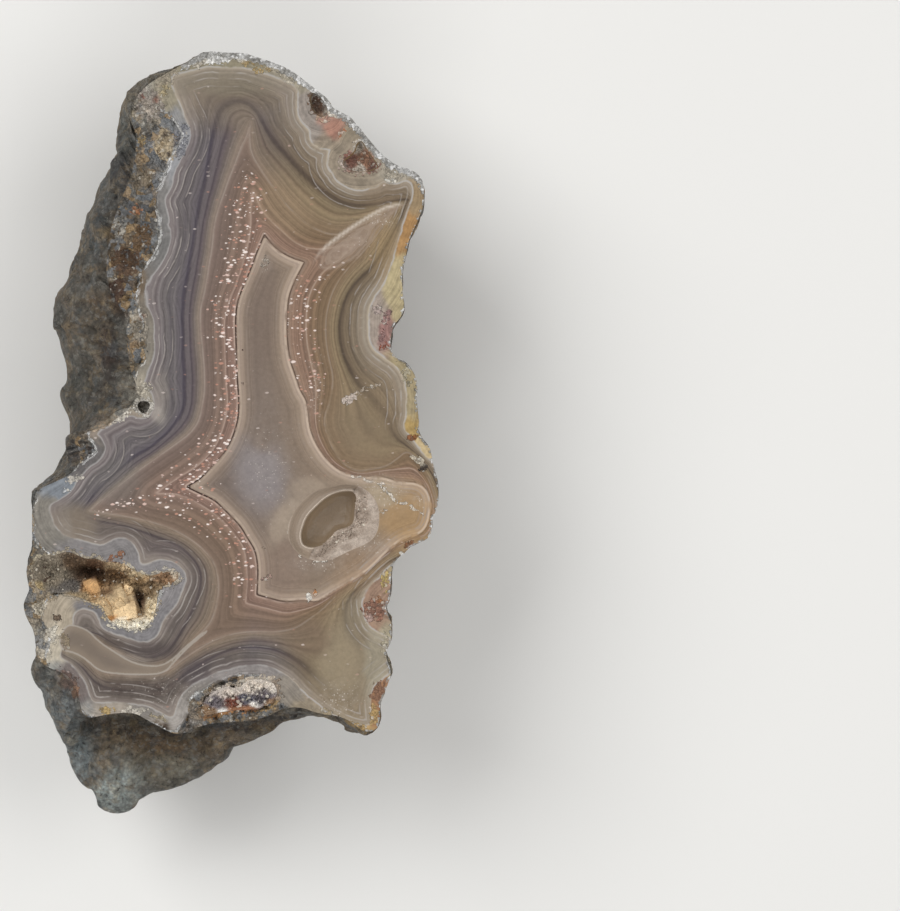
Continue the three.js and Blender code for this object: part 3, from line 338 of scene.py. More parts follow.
# Distance to a closed line, above zero inside it
def depthIn(outline, x, y):
    a, b = outline, np.roll(outline, -1, axis=0)
    best = np.full(len(x), 1e9)
    for i in range(len(a)):
        ex, ey = b[i] - a[i]
        size = ex * ex + ey * ey
        if size < 1e-12:
            continue
        t = np.clip(((x - a[i, 0]) * ex + (y - a[i, 1]) * ey) / size, 0, 1)
        best = np.minimum(best, (x - a[i, 0] - t * ex) ** 2 + (y - a[i, 1] - t * ey) ** 2)
    return np.where(inside(outline, x, y), 1, -1) * np.sqrt(best)


# The stone itself
stone = {
    "height": 24.0, "shoulderDepth": 9.2, "steepDepth": 2.6, "ledgeCut": 0.9,
    "footHalf": (6.8, 12.0), "footMiddle": (-1.6, -0.6), "spindle": (0.46, 3.77),
    "lumpSize": 6.5, "lumpHeight": 1.3, "grainSize": 2.6, "grainHeight": 0.45,
    "around": 760, "shoulderRings": 19, "underRings": 44, "gridStep": 0.275, "edgeGap": 0.17,
    "roughness": 0.34, "pitDepth": 1.15, "plateScale": 0.0109,
}
knobs = [
    ((-12.9, 9.4, 21.8), 2.7, -2.3), ((-13.4, 13.0, 21.5), 1.8, -1.0), ((-13.6, 5.6, 20.6), 2.2, -1.3),
    ((-17.6, -2.4, 21.0), 1.9, -1.4), ((-18.6, 13.6, 15.0), 3.2, 0.9), ((-15.5, 20.0, 15.5), 2.6, 0.8),
    ((-11.0, 33.0, 16.0), 3.0, 0.8), ((-13.0, -35.5, 17.5), 3.4, 1.1), ((-8.0, -34.5, 18.0), 2.4, -1.1),
    ((-17.4, -31.0, 19.0), 2.2, 0.8), ((-1.5, -33.0, 17.0), 2.2, 0.7), ((-13.0, -21.0, 6.0), 4.6, 1.5),
    ((11.0, -20.0, 6.5), 4.2, 1.3), ((13.5, 8.0, 8.0), 4.4, -1.4), ((10.0, 24.0, 6.0), 4.8, 1.5),
    ((-10.0, 22.0, 5.5), 4.2, -1.2), ((-15.0, 2.0, 8.5), 4.0, 1.2), ((1.0, -30.0, 7.0), 4.4, 1.3),
    ((0.0, 34.5, 9.0), 4.2, 1.1), ((18.0, -6.0, 12.0), 3.4, -1.0),
]


def faceOutline():
    start = girth.index((-21.3, -9.6))
    end = girth.index((-20.9, -21.8))
    corner = girth.index((15.7, -31.2))
    return girth[:corner + 1] + faceBottom[::-1] + girth[end:start + 1] + faceLeft[::-1]


faceLine = rounded(faceOutline(), 1)
girthLine = rounded(girth, 1)
wallCurve, darkCurve, paleCurve, thinCurve, coreCurve = [
    rounded(line, 2) for line in (wallLine, darkLine, paleLine, thinLine, coreLine)]


def knobRise(x, y, z):
    rise = 0
    for at, radius, amount in knobs:
        away = ((x - at[0]) ** 2 + (y - at[1]) ** 2 + (z - at[2]) ** 2) / radius ** 2
        rise = rise + amount * np.exp(-away)
    return rise


# Plan places round a middle, by direction and distance
def roundAbout(middle, far, angle):
    return middle[0] + far * np.cos(angle), middle[1] + far * np.sin(angle)


def along(angle, far, z):
    x, y = roundAbout(stone["spindle"], far, angle)
    return np.stack([x, y, np.broadcast_to(z, x.shape)], axis=-1)


# Rings as one block of numbers; the last ring, or each one named, is drawn together to a point
def closeRings(rings, ends=(-1,)):
    for end in ends:
        rings[end][:] = rings[end].mean(axis=0)
    return np.array(rings)


def softened(angles, spread):
    total, weight = 0, 0
    for k in range(-12, 13):
        share = math.cos(k / 13 * math.pi / 2)
        total = total + share * reach(girthLine, stone["spindle"], angles + k / 12 * spread)
        weight += share
    return total / weight


# Share of crumbly rind: outside the wall's glassy skin, which is thick at the top and down the right side
def crumbleAt(x, y, wall):
    skin = 0.75 + 0.5 * (grain(x, y, 0 * x + 21, 1.8, 2) - 0.5) + 2.2 * ramp(33.5, 36.5, y)
    skin = skin + 9 * ramp(3, 6, x) * ramp(-29.5, -26, y) + 9 * ramp(5.5, 8, x)
    skin = skin + 0.5 * ramp(-9, -11, y) * ramp(-4, -6, x)
    skin = skin + 2.5 * heap(x, y, -11.0, -13.5, 4.5, 3.0) + 2.2 * heap(x, y, -18.6, -9.6, 2.6, 3.2)
    skin = skin + 2.6 * heap(x, y, -18.9, -18.6, 2.4, 1.9) + 1.5 * heap(x, y, -18.6, -5.6, 2.2, 1.2)
    return ramp(0, 0.5, -wall - skin)


# Saw level of the face: flat on the agate, pitted on the crumbly rind inside the face's edge
def faceLevel(x, y):
    outside = crumbleAt(x, y, wallAt(x, y))
    rough = grain(x, y, 0 * x, 1.5, 4)
    pits = ramp(0.42, 0.75, rough) * 0.8 + ramp(0.45, 0.8, grain(x + 40, y, 0 * x, 0.7, 2)) * 0.35
    return stone["height"] - stone["pitDepth"] * outside * pits


def stoneRings():
    s = stone
    angle = evenAngles([faceLine, girthLine], s["spindle"], s["around"])
    edge = reach(faceLine, s["spindle"], angle)
    width = np.maximum(edge, reach(girthLine, s["spindle"], angle))
    soft, even = softened(angle, 0.3), softened(angle, 0.75)
    footX = s["footMiddle"][0] + s["footHalf"][0] * np.cos(angle) * (1 + 0.09 * np.sin(3 * angle + 0.8))
    footY = s["footMiddle"][1] + s["footHalf"][1] * np.sin(angle) * (1 + 0.07 * np.sin(4 * angle + 2.1))
    edgeAt = along(angle, edge, 0.0)
    beyond = ramp(0.2, 2.2, width - edge)
    ledge = ramp(-28.4, -29.3, edgeAt[:, 1]) * ramp(-16.4, -15.0, edgeAt[:, 0])
    ledge = ledge * ramp(12.5, 9.0, edgeAt[:, 0])
    girthAt = along(angle, width, 0.0)
    girthDepth = mix(s["steepDepth"], s["shoulderDepth"], beyond)
    girthDepth = girthDepth * (1 + 0.35 * wave(girthAt[:, 0], girthAt[:, 1], 3 + 0 * angle, 9))
    rings = [along(angle, edge, faceLevel(edgeAt[:, 0], edgeAt[:, 1]))]
    for k in range(1, s["shoulderRings"] + 1):
        share = (k / s["shoulderRings"]) ** 1.25
        turn = share * math.pi / 2
        out = mix(math.sin(turn), ramp(0.3, 1, share), ledge)
        down = mix(1 - math.cos(turn), share ** 0.75, ledge)
        far = mix(edge, width, out) - s["ledgeCut"] * ledge * math.sin(math.pi * min(1, share * 2.4))
        z = s["height"] - girthDepth * down
        x, y, _ = along(angle, far, z).T
        rough = math.sin(math.pi * min(share, 0.9999)) ** 0.7 * beyond
        knob = knobRise(x, y, z)
        far = far + rough * (s["lumpHeight"] * wave(x, y, z, s["lumpSize"])
                             + s["grainHeight"] * wave(x, y, z, s["grainSize"]) + 0.5 * knob)
        far = np.minimum(far, width)
        fall = rough * (0.9 * np.abs(wave(x + 30, y, z, s["grainSize"])) - 0.8 * knob)
        rings.append(along(angle, far, np.minimum(s["height"] - 0.12 - 0.1 * min(1, k / 4), z - fall)))
    for k in range(1, s["underRings"]):
        share = k / s["underRings"]
        turn = share * math.pi / 2
        start = s["height"] - girthDepth
        wide = np.minimum(width, mix(width, mix(soft, even, ramp(0.3, 0.8, share)), ramp(0, 0.45, share)))
        wideAt = along(angle, wide, 0.0)
        out = math.cos(turn) ** 0.82
        x, y = mix(footX, wideAt[:, 0], out), mix(footY, wideAt[:, 1], out)
        z = start * (1 - math.sin(turn) ** 1.12)
        rough = math.sin(math.pi * share) ** 0.6
        knob = knobRise(x, y, z)
        lump = (s["lumpHeight"] * 1.6 * wave(x, y, z, s["lumpSize"])
                + s["grainHeight"] * 1.4 * wave(x, y, z, s["grainSize"]) + 0.7 * knob)
        dx, dy = x - s["spindle"][0], y - s["spindle"][1]
        away = np.hypot(dx, dy)
        grow = np.minimum((width - 0.15) / away, 1 + rough * lump / away)
        lift = rough * (0.8 * wave(x, y + 40, z, s["lumpSize"]) - 0.6 * knob * ramp(0.2, 0.7, share))
        rings.append(np.stack([s["spindle"][0] + dx * grow, s["spindle"][1] + dy * grow,
                               np.maximum(0.25, z + lift)], axis=-1))
    rings.append(np.stack([footX, footY, 0 * footX], axis=-1))
    rings = roughened(np.array(rings), width)
    for k in range(1, s["shoulderRings"] + 4):
        rings[k, :, 2] = np.minimum(rings[k, :, 2], rings[k - 1, :, 2] - 0.008)
    return angle, width, rings


# Grain, crumbs and small pits, pushed along the surface's own normal and kept inside the widest line
def roughened(rings, width):
    sideways = np.roll(rings, -1, axis=1) - np.roll(rings, 1, axis=1)
    downwards = np.gradient(rings, axis=0)
    normal = np.cross(downwards, sideways)
    normal /= np.linalg.norm(normal, axis=-1, keepdims=True) + 1e-9
    middle = np.array([stone["spindle"][0], stone["spindle"][1], 12.0])
    flip = np.sign(np.sum(normal * (rings - middle), axis=-1, keepdims=True))
    normal *= np.where(flip == 0, 1, flip)
    x, y, z = rings[..., 0], rings[..., 1], rings[..., 2]
    crumbs = grain(x, y, z, 2.4, 4) - 0.5
    ridges = 0.5 - np.abs(grain(x + 20, y, z, 4.2, 3) - 0.5) * 2.4
    pits = ramp(0.60, 0.80, grain(x, y - 31, z, 1.5, 2))
    knobbly = 1 - 2.2 * np.abs(grain(x, y + 60, z, 3.0, 2) - 0.5)
    push = 1.5 * crumbs + 0.55 * ridges - 0.75 * pits + 0.7 * (knobbly - 0.6) - 0.15
    count = rings.shape[0]
    share = np.arange(count)[:, None]
    fade = ramp(0, 4, share) * ramp(0, 3, count - 1 - share)
    moved = rings + normal * (push * stone["roughness"] * 1.9 * fade)[..., None]
    dx, dy = moved[..., 0] - stone["spindle"][0], moved[..., 1] - stone["spindle"][1]
    far = np.hypot(dx, dy)
    limit = np.minimum(1, width[None, :] / np.maximum(far, 1e-6))
    moved[..., 0] = stone["spindle"][0] + dx * limit
    moved[..., 1] = stone["spindle"][1] + dy * limit
    moved[1:-1, :, 2] = np.clip(moved[1:-1, :, 2], 0.12, stone["height"] - 0.08)
    return moved


# Place of a plan position on the unwrapped sheet, and of a rind position on its other half
def faceSheet(x, y):
    return 0.252 + x * stone["plateScale"], 0.5 + y * stone["plateScale"]


def rindSheet(angle, width, share):
    return (0.748 + width * np.cos(angle) * share * stone["plateScale"],
            0.46 + width * np.sin(angle) * share * stone["plateScale"])


# A sheet of quads from rings of points, closed round the seam; the last ring may be one point
def addRings(bm, rings, sheet, slot):
    count, around = rings.shape[0], rings.shape[1]
    made = bmesh.ops.create_grid(bm, x_segments=around, y_segments=count - 1, size=1.0)["verts"]
    uvLayer = bm.loops.layers.uv["OFBake"]
    places = {}
    for vert in made:
        i = round((vert.co.x + 1) / 2 * around)
        k = round((vert.co.y + 1) / 2 * (count - 1))
        places[vert] = (k, i % around)
        vert.co = rings[k, i % around]
    for face in {f for vert in made for f in vert.link_faces}:
        face.material_index = slot
        for loop in face.loops:
            loop[uvLayer].uv = sheet[places[loop.vert]]


# Depth of a bowl against its deepest point, at a share of the way from its middle to its rim
def bowlFall(share):
    return np.interp(share, [0, 0.24, 0.58, 0.82, 0.95, 1.0], [1, 1, 0.92, 0.72, 0.4, 0.0])


# Rings of a bowl below the face, from its rim to its middle
def bowlRings(outline, middle, around, steps, depthAt, rough=0.25):
    curve = rounded(outline, 2)
    angle = evenAngles([curve], middle, around)
    far = reach(curve, middle, angle)
    rings = []
    for k in range(steps + 1):
        share = min(1 - (k / steps) ** 1.7, 1 - 0.004 * k)
        x, y = roundAbout(middle, far * share, angle)
        depth = depthAt(x, y) * bowlFall(share)
        if k > 0:
            depth = depth + rough * (grain(x, y, 0 * x + 3, 1.1, 3) - 0.5) * ramp(0, 4, k) * 2
        level = faceLevel(x, y)
        rings.append(np.stack([x, y, level if k == 0 else level - depth], axis=-1))
    return closeRings(rings)


hollowMiddle = (-12.6, -15.9)
pocketMiddle = (1.1, -28.1)


def hollowDepth(x, y):
    return 1.9 + 4.5 * heap(x, y, -13.6, -16.3, 4.4, 3.4)


def pocketDepth(x, y):
    return 2.1 * (1 + 0.3 * wave(x, y, 5 + 0 * x, 2.2))


def notchDepth(x, y):
    return 0.95 * (1 + 0.5 * wave(x, y, 9 + 0 * x, 1.5))


vug = {"middle": (10.4, -9.0), "dish": 1.15, "bowl": 2.25, "around": 190, "dishRings": 12, "bowlRings": 20}


# Depth of the dished rim, at a share of the way from its edge to the mouth of the bowl
def dishDepth(share):
    return vug["dish"] * ramp(0.0, 0.75, share) ** 0.75


# The dished rim of the vug, then the smooth oval bowl inside it
def vugRings():
    middle = vug["middle"]
    outer, inner = rounded(vugRim, 2), rounded(vugMouth, 2)
    angle = evenAngles([outer, inner], middle, vug["around"])
    far, near = reach(outer, middle, angle), reach(inner, middle, angle)
    rings = []
    for k in range(vug["dishRings"] + 1):
        part = k / vug["dishRings"]
        cut = mix(far, near, part)
        x, y = roundAbout(middle, cut, angle)
        rings.append(np.stack([x, y, stone["height"] - dishDepth(part) + 0 * x], axis=-1))
    for k in range(1, vug["bowlRings"] + 1):
        share = min(1 - (k / vug["bowlRings"]) ** 1.7, 1 - 0.006 * k)
        x, y = roundAbout(middle, near * share, angle)
        z = stone["height"] - vug["dish"] - vug["bowl"] * bowlFall(share) + 0 * x
        rings.append(np.stack([x, y, z], axis=-1))
    return closeRings(rings)


# A small round pore near the left edge of the face, by share of its width and depth
pore = {
    "middle": (-9.3, 3.05), "radius": 0.66, "around": 28,
    "steps": [(1, 0), (0.97, 0.35), (0.93, 0.8), (0.85, 1.25), (0.65, 1.6), (0.35, 1.78), (0, 1.8)],
}


def poreRings():
    angle = np.arange(pore["around"]) / pore["around"] * 2 * math.pi
    far = pore["radius"] * (1 + 0.08 * np.sin(3 * angle))
    rings = []
    for share, depth in pore["steps"]:
        x, y = roundAbout(pore["middle"], far * share, angle)
        rings.append(np.stack([x, y, faceLevel(x, y) - depth], axis=-1))
    return closeRings(rings)


def planSheet(rings):
    u, v = faceSheet(rings[..., 0], rings[..., 1])
    return np.stack([u, v], axis=-1)


# The sawn face: a fine even net of triangles between the edge and the mouths of the hollows
def addFace(bm, edgeRing, rims):
    outline = edgeRing[:, :2]
    loops = [outline] + [rim[:, :2] for rim in rims]
    fixed = np.concatenate(loops)
    tree = KDTree(len(fixed))
    for i, p in enumerate(fixed):
        tree.insert((p[0], p[1], 0), i)
    tree.balance()
    step = stone["gridStep"]
    xs = np.arange(-22.5, 22.6, step)
    ys = np.arange(-33.0, 41.5, step * 0.866)
    gx, gy = np.meshgrid(xs, ys)
    gx = gx + (np.arange(len(ys)) % 2)[:, None] * step / 2
    gx = gx + (lumps(gx, gy, 0 * gx, 0.5) - 0.5) * 0.05
    x, y = gx.ravel(), gy.ravel()
    keep = inside(outline, x, y)
    for rim in rims:
        keep[keep] = ~inside(rim[:, :2], x[keep], y[keep])
    x, y = x[keep], y[keep]
    free = np.array([tree.find((a, b, 0))[2] > stone["edgeGap"] for a, b in zip(x, y)])
    x, y = x[free], y[free]
    points = np.concatenate([fixed, np.stack([x, y], axis=1)])
    edges, first = [], 0
    for loop in loops:
        edges += [(first + i, first + (i + 1) % len(loop)) for i in range(len(loop))]
        first += len(loop)
    found = delaunay_2d_cdt([Vector(p) for p in points], edges, [], 0, 1e-5)
    flat = np.array([tuple(v) for v in found[0]])
    faces = np.array([f for f in found[2] if len(f) == 3])
    centre = flat[faces].mean(axis=1)
    good = inside(outline, centre[:, 0], centre[:, 1])
    for rim in rims:
        good[good] = ~inside(rim[:, :2], centre[good, 0], centre[good, 1])
    faces = faces[good]
    level = faceLevel(flat[:, 0], flat[:, 1])
    uvLayer = bm.loops.layers.uv["OFBake"]
    used = np.unique(faces)
    verts = {i: bm.verts.new((flat[i, 0], flat[i, 1], level[i])) for i in used.tolist()}
    for a, b, c in faces.tolist():
        face = bm.faces.new((verts[a], verts[b], verts[c]))
        face.material_index = 0
        for loop, i in zip(face.loops, (a, b, c)):
            loop[uvLayer].uv = faceSheet(flat[i, 0], flat[i, 1])
    return len(faces)


def addObject(name, data):
    holder = bpy.data.objects.new(name, data)
    bpy.context.scene.collection.objects.link(holder)
    return holder


# An object from a mesh that was made in millimetres
def newPiece(name, bm, materials, sharp=None):
    bmesh.ops.scale(bm, vec=(0.001, 0.001, 0.001), verts=bm.verts)
    mesh = bpy.data.meshes.new(name)
    bm.to_mesh(mesh)
    bm.free()
    for material in materials:
        mesh.materials.append(material)
    if sharp is not None:
        mesh.set_sharp_from_angle(angle=math.radians(sharp))
    return addObject(name, mesh)


def readPoints(mesh, name):
    flat = np.empty(len(mesh.vertices) * 3, np.float32)
    mesh.vertices.foreach_get(name, flat)
    return flat.reshape(-1, 3).astype(float)


def placesOf(mesh):
    return readPoints(mesh, "co") * 1000


def giveNumber(mesh, name, values):
    layer = mesh.attributes.new(name, "FLOAT", "POINT")
    layer.data.foreach_set("value", np.asarray(values, np.float32))


def giveColour(mesh, name, values):
    layer = mesh.attributes.new(name, "FLOAT_COLOR", "POINT")
    layer.data.foreach_set("color", np.asarray(values, np.float32).ravel())


# Stains and small features, as seen from above: middle, half sizes, turn, colour, strength
spots = [
    # white crust and yellow at the top edge
    (-1.4, 40.3, 1.5, 0.75, 10, (250, 248, 244), 1.0), (-3.6, 39.9, 1.6, 0.6, 25, (205, 196, 180), 0.9),
    (2.8, 39.5, 2.0, 0.75, -15, (172, 148, 104), 0.6), (5.6, 38.7, 1.5, 0.5, -35, (196, 186, 168), 0.8),
    (1.1, 40.3, 1.2, 0.35, -8, (225, 218, 204), 0.9), (-6.8, 38.2, 1.5, 0.7, 30, (172, 160, 140), 0.8),
    # glassy ring, nugget and bluish lobes at the top left
    (-8.7, 35.4, 1.7, 1.9, 0, (156, 146, 136), 0.8), (-8.9, 34.4, 0.6, 0.5, 0, (214, 200, 184), 0.9),
    (-7.9, 35.9, 0.4, 0.5, 0, (170, 110, 88), 0.9), (-9.3, 36.0, 0.4, 0.4, 0, (150, 84, 62), 0.9),
    (-7.0, 36.7, 0.6, 0.8, 0, (178, 162, 126), 0.8), (-9.3, 31.6, 0.5, 0.6, 0, (168, 148, 112), 0.7),
    (-7.0, 30.9, 1.0, 1.9, 8, (190, 172, 142), 1.0), (-7.1, 31.9, 0.5, 0.6, 0, (58, 44, 34), 1.0),
    (-6.8, 29.9, 0.35, 0.5, 0, (72, 56, 44), 1.0), (-5.3, 31.4, 0.8, 2.0, -12, (124, 124, 130), 0.7),
    (-10.0, 24.0, 0.6, 0.6, 0, (172, 118, 82), 0.7), (-9.6, 27.6, 1.2, 1.4, 0, (132, 120, 102), 0.8),
    (-12.0, 22.4, 0.8, 1.4, 0, (150, 146, 138), 0.7), (-9.4, 20.9, 1.1, 1.5, -20, (108, 82, 52), 0.9),
    (-11.2, 18.6, 1.5, 1.6, 0, (92, 66, 44), 0.9), (-12.2, 15.6, 0.9, 1.3, 0, (72, 48, 34), 0.9),
    # left edge, cream white and the round pore
    (-10.0, 11.6, 1.0, 2.2, 0, (178, 168, 152), 0.7), (-9.7, 12.6, 0.5, 0.6, 0, (120, 88, 70), 0.9),
    (-10.3, 9.5, 0.5, 0.6, 0, (156, 128, 96), 0.8), (-9.4, 5.0, 0.9, 0.9, 0, (198, 188, 170), 0.9),
    (-9.3, 3.05, 1.1, 1.1, 0, (206, 200, 190), 0.9), (-9.3, 3.05, 0.66, 0.66, 0, (84, 74, 60), 1.0),
    (-11.8, 1.9, 1.3, 0.6, 40, (222, 214, 200), 0.9), (-13.8, 1.0, 1.4, 0.45, 15, (208, 186, 160), 0.8),
    (-15.2, -1.6, 0.3, 0.3, 0, (48, 38, 34), 1.0), (-14.6, -1.5, 0.25, 0.25, 0, (60, 48, 42), 1.0),
    (-16.8, -4.6, 0.9, 0.5, 20, (214, 206, 194), 0.9), (-17.6, -5.9, 0.5, 0.25, -12, (206, 208, 210), 0.8),
    # the large hollow's surround
    (-16.2, -12.5, 1.6, 0.55, -12, (170, 158, 138), 0.0), (-12.7, -12.9, 0.5, 0.4, 0, (150, 100, 70), 0.8),
    (-11.6, -12.75, 0.4, 0.4, 0, (156, 106, 74), 0.8), (-19.6, -12.4, 1.2, 0.5, 0, (184, 172, 148), 0.0),
    (-9.6, -14.2, 0.9, 0.4, -20, (206, 194, 170), 0.0), (-7.0, -14.1, 1.0, 0.35, 0, (196, 184, 166), 0.0),
    (-10.6, -20.9, 2.0, 0.45, -4, (216, 208, 190), 0.0), (-13.6, -19.0, 0.5, 1.0, -20, (196, 178, 146), 0.0),
    (-7.7, -18.6, 0.45, 1.7, 6, (196, 182, 158), 0.0), (-19.6, -17.2, 0.9, 0.5, 0, (170, 154, 130), 0.8),
    (-20.3, -18.5, 0.7, 0.8, 0, (220, 210, 190), 1.0), (-19.2, -21.4, 0.9, 0.9, 0, (218, 210, 194), 1.0),
    (-19.9, -23.4, 0.8, 0.6, 0, (212, 202, 184), 1.0), (-18.6, -19.6, 0.5, 0.5, 0, (96, 76, 58), 0.9),
    (-17.6, -21.9, 0.6, 0.9, 10, (152, 136, 112), 0.7),
    # rust and grey crystals at the lower left
    (-17.6, -26.0, 1.3, 1.0, -40, (118, 96, 86), 0.9), (-18.4, -25.6, 0.5, 0.4, 0, (186, 178, 170), 0.9),
    (-16.7, -27.2, 0.5, 0.9, 0, (150, 112, 84), 0.8), (-13.4, -29.2, 0.9, 0.4, 0, (188, 160, 104), 0.9),
    (-10.2, -29.3, 1.6, 0.4, 0, (206, 198, 184), 0.8), (-7.6, -30.4, 1.2, 0.4, -30, (176, 162, 134), 0.8),
    # cherry, orange and white pockets of the upper right edge
    (9.3, 35.6, 0.6, 0.9, -20, (112, 84, 66), 1.0), (9.9, 33.9, 0.6, 0.3, -30, (206, 176, 150), 0.7),
    (11.9, 32.4, 0.35, 0.6, -30, (196, 124, 84), 0.8), (10.9, 34.4, 0.8, 0.35, -40, (226, 216, 200), 0.9),
    (12.6, 33.5, 1.4, 0.4, -42, (222, 216, 206), 0.0), (14.4, 31.6, 1.2, 0.4, -48, (224, 218, 208), 0.0),
    (12.6, 29.3, 0.9, 0.6, 10, (138, 92, 78), 0.9), (14.2, 29.4, 0.9, 0.8, 0, (158, 116, 92), 0.9),
    (13.5, 30.4, 0.5, 0.5, 0, (196, 186, 172), 1.0), (15.3, 28.6, 0.7, 0.5, 0, (132, 92, 80), 0.9),
    (13.8, 28.5, 0.5, 0.35, 0, (214, 204, 190), 0.9), (11.8, 28.9, 0.5, 0.4, 0, (206, 190, 178), 0.9),
    (16.6, 29.3, 1.1, 0.5, -40, (226, 220, 210), 0.0), (17.6, 28.0, 1.2, 0.7, 0, (188, 178, 160), 0.8),
    (19.2, 28.0, 0.9, 0.5, -10, (196, 188, 170), 0.8), (16.9, 27.2, 0.7, 0.25, 0, (226, 222, 212), 0.8),
    (14.7, -4.75, 1.7, 0.16, -9, (228, 216, 202), 0.95), (17.1, -6.3, 1.9, 0.17, -40, (230, 220, 206), 0.95),
    (15.6, -8.1, 1.3, 0.13, 12, (214, 200, 184), 0.85), (19.6, -8.0, 1.2, 0.14, -35, (226, 214, 198), 0.9),
    (9.0, -12.95, 1.2, 0.35, -12, (236, 228, 216), 0.9),
    # ochre and rust down the right edge, and painted shade below the lower edge
    (16.6, 12.6, 0.6, 0.9, 0, (150, 116, 112), 0.6), (16.3, 10.6, 0.5, 0.6, 0, (132, 100, 96), 0.7),
    (16.5, 9.4, 0.6, 0.5, 0, (150, 84, 60), 0.9), (15.5, 13.4, 0.5, 0.6, 0, (186, 168, 160), 0.8),
    (18.9, 6.4, 0.7, 1.0, 0, (188, 178, 152), 0.6), (19.4, -0.3, 0.6, 0.4, 0, (140, 84, 40), 0.9),
    (20.5, -3.3, 0.5, 0.4, 0, (44, 30, 22), 1.0), (20.0, -2.6, 0.9, 0.4, -30, (208, 196, 176), 0.8),
    (19.0, -11.6, 0.6, 0.4, 0, (128, 84, 50), 0.9), (18.2, -12.7, 0.4, 0.4, 0, (232, 226, 214), 0.9),
    (16.5, -15.6, 0.5, 1.0, 0, (196, 172, 108), 0.8), (15.4, -18.6, 1.2, 1.3, 0, (150, 106, 86), 0.9),
    (16.0, -17.6, 0.5, 0.5, 0, (176, 118, 74), 0.9), (14.9, -19.6, 0.5, 0.5, 0, (184, 158, 148), 0.8),
    (16.6, -22.6, 0.5, 1.4, 0, (186, 176, 152), 0.7), (15.8, -27.4, 0.7, 1.2, -10, (146, 108, 84), 0.8),
    (15.4, -29.8, 0.5, 1.2, 0, (190, 158, 104), 0.9), (13.4, -31.3, 1.7, 0.6, -18, (186, 154, 100), 0.9),
    # painted shade: the near-black mark at (11.7, -30.6), just below the face's lower edge, is the shadowed
    # recess there
    (11.7, -30.6, 0.9, 0.3, -20, (52, 38, 28), 1.0), (10.2, -29.6, 0.8, 0.3, -20, (178, 160, 130), 0.8),
    # round the glittering pocket
    (2.0, -25.6, 2.6, 0.5, 6, (204, 190, 172), 0.0), (-2.3, -27.2, 1.3, 0.5, 45, (188, 176, 164), 0.0),
    (-3.4, -29.2, 0.5, 1.1, 0, (152, 128, 104), 0.0), (1.0, -29.9, 2.8, 0.5, 0, (170, 120, 70), 0.0),
    (5.6, -27.2, 0.7, 1.0, 20, (160, 142, 124), 0.0), (4.2, -29.2, 1.2, 0.4, 20, (188, 158, 112), 0.0),
    # small marks in the agate
    (3.7, 18.5, 0.5, 0.5, 0, (178, 166, 152), 0.7), (1.2, 9.0, 0.14, 0.14, 0, (92, 66, 52), 0.9),
    (1.3, 5.3, 0.14, 0.14, 0, (92, 66, 52), 0.9), (8.5, -17.4, 0.35, 0.5, 10, (246, 240, 230), 1.0),
    (8.9, -16.9, 0.2, 0.35, 0, (196, 128, 66), 1.0), (3.7, -15.2, 0.7, 0.25, 0, (176, 146, 134), 0.7),
    (3.5, -11.9, 0.4, 0.15, 0, (186, 158, 142), 0.7), (7.5, -12.7, 0.3, 0.25, 0, (232, 222, 208), 0.9),
    (12.7, 3.8, 0.85, 0.42, 12, (214, 198, 186), 1.0), (14.6, 4.9, 1.9, 0.22, 30, (186, 170, 152), 0.75),
]
